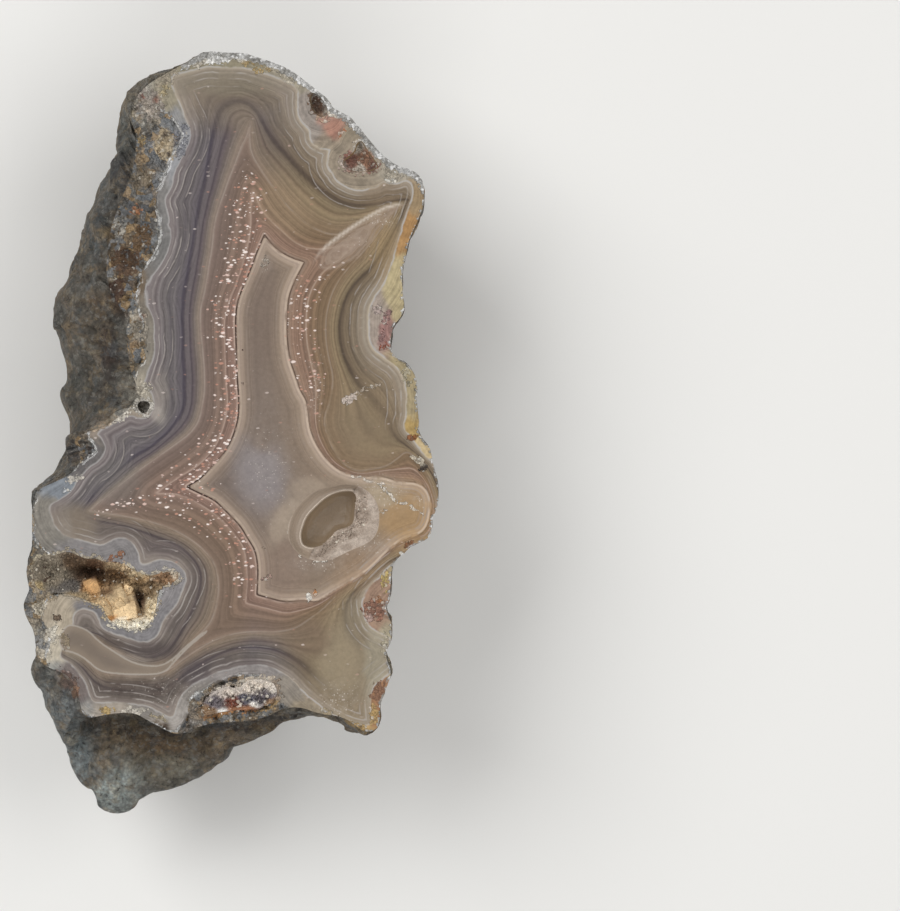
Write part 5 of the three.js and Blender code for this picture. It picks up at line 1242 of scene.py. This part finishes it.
    # crumbly rind inside the face's edge, stains and the sugary crust along edges, all made of grains
    small = grainsOf(place, 0.3)
    large = grainsOf(place, 0.75)
    jumble = small[0] * 0.75 - 0.375
    jumble += fine * 0.9
    crumble = readNumber("crumble")
    matrix = stepUp(crumble + jumble, 0.38, 0.5) * stepUp(crumble, 0.0, 0.1)
    crumbs = granular(rindColour(place, fine, wobble), small, 0.3, 0.045, (196, 190, 178), 0.35)
    crumbs = darken(crumbs, large[0] * 0.7 + 0.65)
    glassy = blend(milk, (96, 100, 104), (142, 144, 146))
    crumbs = blend(stepUp(large[1], 0.36, 0.24) * 0.75, crumbs, glassy)
    ochre = darken((176, 146, 104), jumble * 0.9 + 0.95)
    crumbs = blend(stepUp(large[1], 0.76, 0.84) * 0.6, crumbs, ochre)
    colour = blend(matrix, colour, crumbs)
    spot, spotShare = readColour("spot")
    share = stepUp(spotShare + jumble, 0.46, 0.6)
    share *= stepUp(spotShare, 0.05, 0.25)
    colour = blend(share * 0.9, colour, granular(spot, small, 0.26, 0.08, dark=0.4))
    rim = readNumber("rim")
    rimShare = stepUp(rim + jumble * 0.5, 0.36, 0.52) * stepUp(rim, 0.05, 0.3)
    rimColour = blend(milk, (150, 147, 141), (214, 213, 210))
    colour = blend(rimShare, colour, granular(rimColour, small, 0.12, 0.22, (250, 249, 247), 0.15))
    plug(colour, skin.inputs["Base Color"])
    coarse = maths("MAXIMUM", maths("MAXIMUM", matrix, share), rimShare)
    plug(coarse * 0.46 + 0.13, skin.inputs["Roughness"])
    plug(1.54, skin.inputs["IOR"])
    height = small[0] * 0.8 + fine - small[2] * 0.8
    height = (height + large[0] * 0.8) * coarse
    bump(skin, height, 1.0, 0.00032)
    return material


# Grey, brown and ochre weathered rind, on the ground colour of its place
def rindColour(place, fine, wobble):
    ground, groundShare = readColour("ground")
    wide = cloud(place, 7.0, 4.0, 0.6, 0.5)
    patch = cloud(place, 1.9, 5.0, 0.68, 0.6)
    base = colourSteps(wide, [(0.3, (84, 77, 68)), (0.42, (100, 97, 90)), (0.5, (112, 112, 106)),
                              (0.58, (98, 88, 74)), (0.72, (128, 118, 100))])
    base = blend(groundShare * 0.85, base, ground)
    brown = colourSteps(patch, [(0.34, (56, 42, 32)), (0.44, (96, 76, 56)), (0.54, (132, 110, 82)),
                                (0.7, (166, 148, 114))])
    mixed = stepUp(patch + wobble * 0.7, 0.44, 0.6)
    colour = blend(mixed * 0.42, base, brown)
    tone = fine * 0.8 + 0.78 + patch * 0.8
    return darken(colour, tone)


def makeRind():
    material, skin = newMaterial("weatheredRind")
    place = placeInMm()
    wobble = cloud(place, 2.6, 4.0) - 0.5
    fine = cloud(place, 0.5, 4.0, 0.7) - 0.5
    small, large = grainsOf(place, 0.42), grainsOf(place, 1.5)
    spot, spotShare = readColour("spot")
    colour = rindColour(place, fine, wobble)
    share = spotShare + fine * 1.2
    share = stepUp(share, 0.4, 0.6) * stepUp(spotShare, 0.05, 0.25)
    colour = blend(share * 0.7, colour, spot)
    rough = cloud(place, 1.5, 6.0, 0.72, 0.4)
    coarse = cloud(place, 0.75, 5.0, 0.72, 0.3)
    colour = blend(stepUp(cloud(place, 2.6, 5.0, 0.7), 0.52, 0.6) * 0.4, colour, (122, 129, 132))
    colour = blend(stepUp(cloud(place, 3.4, 5.0, 0.7), 0.54, 0.63) * 0.4, colour, (168, 142, 104))
    # painted light and shade: the rind is lighter where rough also lifts its bump, darker where it sinks
    colour = darken(colour, stepUp(rough, 0.36, 0.66) * 0.8 + 0.9)
    colour = granular(colour, small, 0.2, 0.0, dark=0.0)
    # pale on the grains that coarse raises: partly frosty grains, partly painted highlight
    frost = small[1] * 0.35 + coarse * 0.9
    colour = blend(stepUp(frost, 0.74, 0.86) * 0.55, colour, (186, 182, 172))
    # painted shade: dark brown in the low places where coarse sinks the bump
    colour = blend(stepUp(coarse, 0.43, 0.34) * 0.7, colour, (54, 43, 34))
    plug(colour, skin.inputs["Base Color"])
    plug(rough * 0.5 + 0.4, skin.inputs["Roughness"])
    height = rough * 5.0 - large[2] * 0.5
    height += coarse * 3.0
    height += small[0] * 0.35 + fine
    bump(skin, height, 1.0, 0.0008)
    return material


def makeHollowWall():
    material, skin = newMaterial("smoothHollow")
    place = placeInMm()
    x = wire(addNode("ShaderNodeSeparateXYZ", {0: place}))
    fine = cloud(place, 0.5, 4.0, 0.65) - 0.5
    mouth = readNumber("mouth") + fine * 0.16
    bowl = blend(cloud(place, 2.0, 3.0), (136, 118, 97), (150, 131, 108))
    lines = stripes(mouth, 2.6, 2.0) * 0.22 + 1.0
    dish = darken((168, 151, 134), lines)
    olive = blend(stepUp(mouth, -0.06, 0.1), dish, bowl)
    lip = 1.0 - stepUp(abs(mouth), 0.04, 0.15)
    olive = blend(lip * 0.75, olive, (222, 208, 192))
    # painted shade: left of x 5.6 mm, in the large hollow and the pocket, the wall is near-black brown for
    # the shade deep in them; the vug keeps its olive
    dark = blend(cloud(place, 0.9, 4.0), (58, 40, 32), (104, 80, 60))
    colour = blend(stepUp(x, 5.6, 5.7), dark, olive)
    plug(colour, skin.inputs["Base Color"])
    plug(0.42, skin.inputs["Roughness"])
    bump(skin, fine, 0.4, 0.0003)
    return material


def buildStone(materials):
    bm = bmesh.new()
    bm.loops.layers.uv.new("OFBake")
    angle, width, rings = stoneRings()
    length = np.concatenate([[0], np.cumsum(np.linalg.norm(np.diff(rings, axis=0), axis=-1).mean(axis=1))])
    footWidth = 9.0
    total = length[-1] + footWidth
    middle = rings[-1].mean(axis=0)
    foot = [rings, mix(rings[-1], middle, 0.5)[None], np.broadcast_to(middle, (1, *rings[-1].shape))]
    share = np.concatenate([1 - length / total, [footWidth / total * 0.5, 0.0]])
    rings = np.concatenate(foot)
    sheet = np.stack([np.stack(rindSheet(angle, width, s), axis=-1) for s in share])
    addRings(bm, rings, sheet, 1)
    print("rind", len(bm.faces))
    bowls = [
        bowlRings(hollowRim, hollowMiddle, 230, 26, hollowDepth),
        vugRings(),
        bowlRings(pocketRim, pocketMiddle, 130, 14, pocketDepth),
        bowlRings(notchTop, (9.4, 35.1), 44, 8, notchDepth, rough=0.3),
        bowlRings(notchRight, (13.8, 29.4), 60, 9, notchDepth, rough=0.3),
        poreRings(),
    ]
    # the hollow, the vug and the pocket have the smooth wall's material, the small bowls that of the face
    for number, bowl in enumerate(bowls):
        addRings(bm, bowl, planSheet(bowl), 2 if number < 3 else 0)
    count = addFace(bm, rings[0], [bowl[0] for bowl in bowls])
    print("face triangles", count)
    bmesh.ops.remove_doubles(bm, verts=bm.verts, dist=0.003)
    # slivers that were folded flat by the weld are taken off, and what is then open is closed
    for _ in range(3):
        loose = {f for e in bm.edges if e.is_boundary for f in e.link_faces}
        flaps = [f for f in loose if any(len(e.link_faces) > 2 for e in f.edges)]
        bmesh.ops.delete(bm, geom=flaps, context="FACES")
    bmesh.ops.holes_fill(bm, edges=[e for e in bm.edges if e.is_boundary], sides=6)
    bmesh.ops.recalc_face_normals(bm, faces=bm.faces)
    print("open edges", len([e for e in bm.edges if not e.is_manifold]))
    for face in bm.faces:
        face.smooth = True
    piece = newPiece("agateHalf", bm, materials, sharp=38)
    giveGrowth(piece.data)
    return piece


# One crumb or crystal, flat sided, standing on a crust
def addCrumb(bm, dice, at, size, squash=0.75):
    turn = Euler((dice.uniform(0, 6.3), dice.uniform(0, 6.3), dice.uniform(0, 6.3))).to_matrix().to_4x4()
    shape = Matrix.Diagonal((1, dice.uniform(0.7, 1.1), squash * dice.uniform(0.75, 1.2), 1))
    place = Matrix.Translation(at) @ turn @ shape
    made = bmesh.ops.create_icosphere(bm, subdivisions=1, radius=size, matrix=place)
    for vert in made["verts"]:
        vert.co += Vector([dice.uniform(-0.22, 0.22) * size for _ in range(3)])
    return made["verts"]


# One six-sided crystal with a pointed end
def addPoint(bm, dice, at, size, rise, lean):
    tip = Euler((dice.gauss(0, lean), dice.gauss(0, lean), dice.uniform(0, 6.3))).to_matrix().to_4x4()
    place = Matrix.Translation(at) @ tip
    made = bmesh.ops.create_cone(bm, cap_ends=True, segments=6, radius1=size * 0.92, radius2=size, depth=rise,
                                 matrix=place)["verts"]
    back = place.inverted()
    top = [v for v in made if (back @ v.co).z > 0]
    cap = [f for f in {f for v in top for f in v.link_faces} if all(v in top for v in f.verts)]
    peak = bmesh.ops.poke(bm, faces=cap)["verts"]
    for vert in peak:
        x, y = size * dice.uniform(-0.3, 0.3), size * dice.uniform(-0.3, 0.3)
        vert.co = place @ Vector((x, y, rise / 2 + size * 1.1))
    return made + peak


# Many of them, each with its own brightness in the point number "pick"
def addMany(bm, dice, items, build):
    for start in range(0, len(items), 40):
        batch = bmesh.new()
        pick = batch.verts.layers.float.new("pick")
        for item in items[start:start + 40]:
            own = dice.random()
            for vert in build(batch, dice, *item):
                vert[pick] = own
        joinTo(bm, batch)


def joinTo(bm, part):
    mesh = bpy.data.meshes.new("part")
    part.to_mesh(mesh)
    part.free()
    bm.from_mesh(mesh)
    bpy.data.meshes.remove(mesh)


def newCrust():
    bm = bmesh.new()
    bm.loops.layers.uv.new("OFBake")
    bm.verts.layers.float.new("pick")
    return bm


def finishShell(bm, rings):
    addRings(bm, rings, planSheet(rings), 0)
    bmesh.ops.remove_doubles(bm, verts=bm.verts, dist=0.002)
    for vert in bm.verts:
        vert[bm.verts.layers.float["pick"]] = 0.4
    for face in bm.faces:
        face.smooth = True


def finishCrust(bm, name, material):
    bmesh.ops.recalc_face_normals(bm, faces=bm.faces)
    bm.loops.layers.uv.remove(bm.loops.layers.uv["OFBake"])
    return newPiece(name, bm, [material])


# A broken block with rough, flat sides
def addBlock(bm, dice, at, half, turn, tip, rough=0.3):
    block = bmesh.new()
    pick = block.verts.layers.float.new("pick")
    own = dice.uniform(0.3, 0.95)
    place = Matrix.Translation(at) @ Matrix.Rotation(turn, 4, "Z") @ Matrix.Rotation(tip, 4, "X")
    bmesh.ops.create_cube(block, size=2.0, matrix=place @ Matrix.Diagonal((*half, 1)))
    bmesh.ops.bevel(block, geom=block.edges[:], affect="EDGES", offset=0.07, segments=1, profile=0.5,
                    material=-1)
    bmesh.ops.subdivide_edges(block, edges=block.edges[:], cuts=4, use_grid_fill=True)
    shift = Vector([dice.uniform(0, 40) for _ in range(3)])
    for vert in block.verts:
        c = vert.co + shift
        push = float(grain(c.x, c.y, c.z, 0.9, 4)) - 0.5
        vert.co += (vert.co - Vector(at)).normalized() * push * rough
        vert[pick] = own
    joinTo(bm, block)


# Rings of a closed shell lying in a hollow: its underside from the middle out, then its top back in
def shellRings(outline, middle, topDepth, settings, inset=0.03):
    curve = rounded(outline, 2)
    angle = evenAngles([curve], middle, settings["around"])
    far = reach(curve, middle, angle) - inset
    under, top = [], []
    for k in range(settings["steps"] + 1):
        share = 1 - (1 - k / settings["steps"]) ** 1.6
        x, y = roundAbout(middle, far * share, angle)
        depth = topDepth(x, y)
        under.append(np.stack([x, y, stone["height"] - depth - settings["thick"]], axis=-1))
        top.append(np.stack([x, y, stone["height"] - depth], axis=-1))
    return closeRings(under + top[::-1], (0, -1))


def heap(x, y, cx, cy, rx, ry):
    return np.exp(-((x - cx) / rx) ** 2 - ((y - cy) / ry) ** 2)


# Crust of the large hollow: grey crumbs at the left, a deep cavern darkened with painted shade, buff blocks
# and white lumps at the right
hollowCrust = {
    "around": 210, "steps": 34, "thick": 0.55, "crumbs": 1500, "lumps": 40, "seed": 5,
    "roughness": 0.62, "spread": 0.32, "patch": 0.34, "white": 0.05,
    "stains": [
        # the dark browns at the cavern under the upper rim, at (-16.6, -13.9) and (-14.9, -14.6), are painted
        # shade of the overhang
        (-19.4, -14.8, 2.2, 1.5, 0, (148, 137, 120), 1.0), (-16.6, -13.9, 1.6, 0.9, 0, (116, 94, 72), 1.0),
        (-14.9, -14.6, 1.7, 1.0, 0, (104, 76, 54), 1.0), (-12.8, -15.0, 1.4, 0.8, 0, (152, 122, 90), 1.0),
        (-17.6, -16.2, 1.6, 0.7, 0, (118, 112, 106), 1.0), (-14.9, -16.1, 0.8, 0.9, 0, (204, 160, 108), 1.0),
        (-16.4, -17.0, 1.2, 0.5, 0, (168, 148, 116), 1.0), (-11.8, -14.2, 1.8, 0.7, 0, (190, 166, 132), 1.0),
        (-9.9, -15.4, 0.9, 0.6, 0, (170, 140, 102), 1.0), (-11.7, -18.2, 1.8, 2.0, 0, (218, 190, 148), 1.0),
        (-12.6, -19.7, 0.7, 0.5, 0, (196, 140, 82), 1.0), (-10.9, -17.9, 0.35, 0.9, 20, (128, 98, 66), 1.0),
        (-11.6, -18.3, 0.9, 0.18, 25, (150, 118, 80), 1.0), (-9.9, -17.4, 0.6, 1.4, 0, (84, 62, 44), 1.0),
        (-9.2, -16.4, 1.1, 1.2, 0, (140, 116, 86), 1.0), (-8.7, -18.4, 0.7, 1.6, 0, (226, 208, 174), 1.0),
        (-10.4, -20.2, 2.6, 0.6, 0, (244, 236, 216), 1.0), (-7.0, -15.2, 1.6, 0.6, 0, (150, 118, 88), 1.0),
        (-6.0, -14.9, 0.5, 0.4, 0, (226, 212, 190), 1.0), (-12.9, -16.9, 0.8, 0.7, 0, (150, 120, 88), 1.0),
        (-20.6, -16.0, 0.8, 0.6, 0, (190, 170, 130), 1.0), (-10.2, -15.0, 0.9, 0.5, 0, (190, 170, 136), 1.0),
    ],
    "blocks": [
        ((-12.1, -17.4, 22.5), (1.0, 1.15, 0.9), 0.5, 0.22),
        ((-11.3, -18.9, 22.3), (1.25, 0.95, 1.0), 0.15, -0.18),
        ((-12.4, -19.0, 22.1), (0.8, 0.85, 1.0), 0.9, 0.3),
        ((-10.7, -17.7, 22.0), (0.65, 1.05, 1.0), 0.3, 0.42),
        ((-11.3, -16.8, 22.2), (0.8, 0.5, 0.7), 1.1, 0.2),
        ((-14.9, -16.1, 21.9), (0.72, 0.85, 1.05), 0.4, 0.1),
        ((-13.6, -16.6, 21.6), (0.55, 0.5, 0.7), 0.2, 0.5),
        ((-11.9, -18.0, 22.9), (0.5, 0.62, 0.55), 0.7, 0.5),
        ((-10.9, -19.4, 22.6), (0.62, 0.45, 0.6), 0.4, -0.4),
        ((-12.9, -18.2, 22.2), (0.5, 0.7, 0.8), 0.25, 0.35),
        ((-9.0, -16.3, 22.3), (0.5, 0.42, 0.55), 0.8, 0.3),
        ((-8.9, -18.3, 22.4), (0.55, 0.75, 0.6), 0.4, 0.35),
        ((-16.2, -16.9, 22.5), (0.7, 0.35, 0.5), 0.1, 0.2), ((-9.9, -19.7, 22.7), (0.8, 0.35, 0.5), 0.1, 0.3),
        ((-10.2, -15.1, 22.6), (0.5, 0.35, 0.5), 0.6, 0.4),
    ],
}


def crustDepth(x, y):
    rim = depthIn(rounded(hollowRim, 1), x.ravel(), y.ravel()).reshape(x.shape)
    depth = (1.05 + 2.7 * heap(x, y, -14.8, -14.7, 2.4, 1.15) + 1.2 * heap(x, y, -12.4, -15.6, 2.0, 1.0)
             + 1.5 * heap(x, y, -10.1, -17.4, 1.5, 1.7) + 0.7 * heap(x, y, -19.2, -14.8, 1.6, 1.0)
             + 0.5 * heap(x, y, -17.0, -15.4, 1.4, 1.0))
    depth = depth * ramp(-0.15, 1.3, rim) + 0.02
    crumbly = (grain(x, y, 0 * x + 2, 0.95, 4) - 0.5) * 1.5 * ramp(0.0, 0.5, rim)
    return np.clip(depth + crumbly, 0.02, 5.6)


def scatter(dice, outline, count):
    curve = rounded(outline, 1)
    low, high = curve.min(axis=0), curve.max(axis=0)
    found = []
    while len(found) < count:
        x, y = dice.uniform(low[0], high[0]), dice.uniform(low[1], high[1])
        if inside(curve, np.array([x]), np.array([y]))[0]:
            found.append((x, y))
    return found


def buildHollowCrust(material):
    dice = Random(hollowCrust["seed"])
    bm = newCrust()
    finishShell(bm, shellRings(hollowRim, hollowMiddle, crustDepth, hollowCrust))
    rim = rounded(hollowRim, 1)
    crumbs = []
    for x, y in scatter(dice, hollowRim, hollowCrust["crumbs"]):
        at = np.array([x]), np.array([y])
        if -13.3 < x < -10.2 and -19.8 < y < -16.4:  # the blocks stand there
            continue
        size = dice.uniform(0.08, 0.22) * (1.5 if x > -10.6 and depthIn(rim, *at)[0] < 1.2 else 1.0)
        depth = max(float(crustDepth(*at)[0]), size * 0.9)
        crumbs.append(((x, y, stone["height"] - depth + size * 0.3), size))
    for _ in range(hollowCrust["lumps"]):  # white lumps along the lower rim
        x = dice.uniform(-12.4, -8.3)
        y = float(np.interp(x, [-12.6, -11.6, -10.6, -9.6, -8.4], [-19.9, -20.3, -20.5, -20.4, -19.7]))
        y += dice.uniform(-0.1, 0.4)
        z = stone["height"] - 0.28 + dice.uniform(-0.3, 0.0)
        crumbs.append(((x, y, z), dice.uniform(0.14, 0.28)))
    addMany(bm, dice, crumbs, addCrumb)
    for at, half, turn, tip in hollowCrust["blocks"]:
        addBlock(bm, dice, at, half, turn, tip)
    piece = finishCrust(bm, "buffCrust", material)
    x, y, z = placesOf(piece.data).T
    colours = soften(hollowCrust["stains"], x, y, 0.5, 0.5)
    # painted shade: the crust's colours darken deep down in the hollow
    colours[:, :3] *= 1 - 0.35 * ramp(22.4, 20.0, z)[:, None]  # darker deep down
    giveColour(piece.data, "tintHere", colours)
    return piece


# Frosty quartz on the right and lower side of the vug's dished rim
vugCrust = {
    "from": -2.05, "to": 0.85, "columns": 150, "rows": 26, "thick": 0.45, "points": 520, "seed": 8,
    "roughness": 0.38, "spread": 0.07, "patch": 0.30, "white": 0.07,
    "colours": ((168, 151, 136), (200, 184, 169)),
}


# Places on top of that crust, by direction and by share of the way from the mouth to the edge of the dish
def vugCrustTop(angle, share):
    middle = vug["middle"]
    near = reach(rounded(vugMouth, 2), middle, angle)
    far = reach(rounded(vugRim, 2), middle, angle)
    out = mix(near - 0.12, far - 0.02, share)
    x, y = roundAbout(middle, out, angle)
    across = (angle - vugCrust["from"]) / (vugCrust["to"] - vugCrust["from"])
    ends = ramp(0, 0.22, across) * ramp(1, 0.78, across)
    floorLevel = stone["height"] - dishDepth(1 - share)
    fill = ends * (0.62 * ramp(0.0, 0.55, share) * ramp(1.0, 0.8, share) + 0.10)
    z = floorLevel + fill + 0.28 * ends * (grain(x, y, 0 * x + 7, 0.7, 4) - 0.5) * ramp(1.0, 0.85, share)
    return np.stack([x, y, np.minimum(z, stone["height"] - 0.03)], axis=-1)


def buildVugCrust(material):
    dice = Random(vugCrust["seed"])
    bm = newCrust()
    angle = np.linspace(vugCrust["from"], vugCrust["to"], vugCrust["columns"])
    top = [vugCrustTop(angle, share) for share in np.linspace(0.0, 1.0, vugCrust["rows"])]
    drop = np.array([0, 0, vugCrust["thick"]])
    under = [vugCrustTop(angle, share) - drop for share in (0.94, 0.5, 0.06)]
    finishShell(bm, closeRings(np.stack(top + under, axis=1), (0, -1)))
    points = []
    for _ in range(vugCrust["points"]):
        toward = dice.uniform(vugCrust["from"] + 0.2, vugCrust["to"] - 0.25)
        x, y, z = vugCrustTop(np.array([toward]), dice.uniform(0.03, 0.9))[0]
        size = dice.uniform(0.07, 0.17)
        points.append(((x, y, min(z, stone["height"] - 0.1 - size)), size, size * 1.3, 0.6))
    addMany(bm, dice, points, addPoint)
    return finishCrust(bm, "frostyCrust", material)


# Glittering quartz in the pocket at the lower edge
ledgeCrust = {
    "around": 130, "steps": 22, "thick": 0.45, "points": 620, "seed": 11,
    "roughness": 0.2, "spread": 0.40, "patch": 0.30, "white": 0.14,
    "stains": [
        (0.6, -27.4, 3.0, 0.6, 8, (214, 202, 190), 1.0), (2.8, -26.7, 1.6, 0.6, 0, (226, 214, 200), 1.0),
        (-1.6, -28.2, 1.0, 0.8, 20, (120, 112, 116), 1.0), (0.2, -28.5, 0.8, 0.5, 0, (128, 76, 60), 1.0),
        (1.8, -28.0, 1.2, 0.8, 0, (104, 102, 112), 1.0), (3.6, -27.6, 1.0, 0.9, 0, (116, 108, 112), 1.0),
        (-0.9, -29.4, 0.5, 0.4, 0, (250, 246, 240), 1.0), (-2.4, -29.3, 0.8, 0.6, 0, (138, 110, 82), 1.0),
        (1.2, -29.2, 1.6, 0.4, 0, (150, 104, 74), 1.0), (2.6, -28.6, 0.5, 0.35, 0, (246, 240, 232), 1.0),
        (4.3, -27.1, 0.5, 0.4, 0, (232, 222, 210), 1.0), (4.2, -28.4, 0.6, 0.5, 0, (150, 120, 92), 1.0),
    ],
}


def ledgeDepth(x, y):
    rim = depthIn(rounded(pocketRim, 1), x.ravel(), y.ravel()).reshape(x.shape)
    depth = 0.04 + (0.45 + 0.5 * heap(x, y, 1.2, -28.1, 3.0, 0.9)) * ramp(-0.1, 1.3, rim)
    return np.clip(depth + (grain(x, y, 0 * x + 5, 0.8, 3) - 0.5) * 0.8 * ramp(0, 0.4, rim), 0.03, 1.7)


def buildLedgeCrust(material):
    dice = Random(ledgeCrust["seed"])
    bm = newCrust()
    finishShell(bm, shellRings(pocketRim, pocketMiddle, ledgeDepth, ledgeCrust))
    points = []
    for x, y in scatter(dice, pocketRim, ledgeCrust["points"]):
        depth = float(ledgeDepth(np.array([x]), np.array([y]))[0])
        size = dice.uniform(0.10, 0.26)
        z = stone["height"] - max(depth, 0.2 + size)
        points.append(((x, y, z), size, size * dice.uniform(1.0, 1.8), 0.5))
    addMany(bm, dice, points, addPoint)
    piece = finishCrust(bm, "glitteringCrust", material)
    x, y, _ = placesOf(piece.data).T
    giveColour(piece.data, "tintHere", soften(ledgeCrust["stains"], x, y, 0.5, 0.4))
    return piece


# Material of a crust: patches, brown veins, and points of their own brightness, some of them white
def makeCrust(name, settings):
    spread, size, white = settings["spread"], settings["patch"], settings["white"]
    material, skin = newMaterial(name)
    place = placeInMm()
    fine = cloud(place, 0.3, 5.0, 0.7) - 0.5
    pick = readNumber("pick")
    patch = stepUp(cloud(place, size * 2.4, 5.0, 0.7), 0.33, 0.67)
    if "stains" in settings:
        base, _ = readColour("tintHere")
    else:
        base = blend(stepUp(cloud(place, 1.1, 4.0), 0.36, 0.64), *settings["colours"])
    tone = pick * (spread * 2.4) + (1.0 - spread)
    tone = tone + fine * (0.6 + spread * 2.5)
    tone = tone + (patch * spread + -0.5 * spread)
    colour = darken(base, tone)
    veins = abs(cloud(place, size * 3.2, 4.0, 0.62, 0.8) - 0.5)
    veins = maths("MULTIPLY", stepUp(veins, 0.012, 0.002), patch * (spread * 3.0), clamp=True)
    colour = blend(veins, colour, (78, 56, 40))
    colour = blend(stepUp(pick, 1.0 - white, 1.02 - white) * 0.75, colour, (236, 228, 212))
    plug(colour, skin.inputs["Base Color"])
    plug(settings["roughness"], skin.inputs["Roughness"])
    bump(skin, patch * 0.5 + fine, 0.9, 0.0002)
    return material


agatePiece = buildStone([makeAgate(), makeRind(), makeHollowWall()])
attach(agatePiece, "root")
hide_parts("agate_half")
print("stone", len(agatePiece.data.polygons))

crusts = [
    (buildHollowCrust(makeCrust("buffCrystal", hollowCrust)), "hollow_crust", "buff_crystal"),
    (buildVugCrust(makeCrust("frostyQuartz", vugCrust)), "vug_druse", "frosty_quartz"),
    (buildLedgeCrust(makeCrust("glitterQuartz", ledgeCrust)), "ledge_druse", "druse_quartz"),
]
for piece, node, slot in crusts:
    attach(piece, "root")
    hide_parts(node)
    print(piece.name, len(piece.data.polygons))

# Plain pale floor
floor = {"half": 600.0, "colour": (236, 235, 232), "roughness": 0.9}
floorMaterial, floorSkin = newMaterial("paleFloor")
plug(tint(*floor["colour"]), floorSkin.inputs["Base Color"])
plug(floor["roughness"], floorSkin.inputs["Roughness"])
bm = bmesh.new()
bmesh.ops.create_grid(bm, x_segments=2, y_segments=2, size=floor["half"])
floorPiece = newPiece("floor", bm, [floorMaterial])

# Soft studio light: large lamps round the specimen, well off the mirror line of the flat face
lamps = [
    {"name": "keySoftbox", "place": (-0.37, 0.27, 0.50), "size": 0.42, "power": 2.85},
    {"name": "fillSoftbox", "place": (0.43, 0.10, 0.45), "size": 0.45, "power": 1.3},
    {"name": "lowSoftbox", "place": (0.05, -0.45, 0.44), "size": 0.42, "power": 1.15},
]
for lamp in lamps:
    light = bpy.data.lights.new(lamp["name"], "AREA")
    light.size = lamp["size"]
    light.energy = lamp["power"]
    holder = addObject(lamp["name"], light)
    holder.location = lamp["place"]
    holder.rotation_euler = (-Vector(lamp["place"])).to_track_quat("-Z", "Y").to_euler()
world = bpy.data.worlds.new("studio")
world.use_nodes = True
sky = world.node_tree.nodes["Background"]
plug((1, 1, 1, 1), sky.inputs["Color"])
plug(0.24, sky.inputs["Strength"])
bpy.context.scene.world = world

# Camera straight above, framed as the photograph is
cameraData = bpy.data.cameras.new("camera")
cameraData.lens = 200
cameraData.sensor_width = 36
cameraData.clip_start = 0.01
camera = addObject("camera", cameraData)
camera.location = (0.02340, -0.00216, 0.564)
bpy.context.scene.camera = camera
bpy.context.scene.view_settings.view_transform = "Standard"
bpy.context.scene.view_settings.look = "None"

print("scene ready")
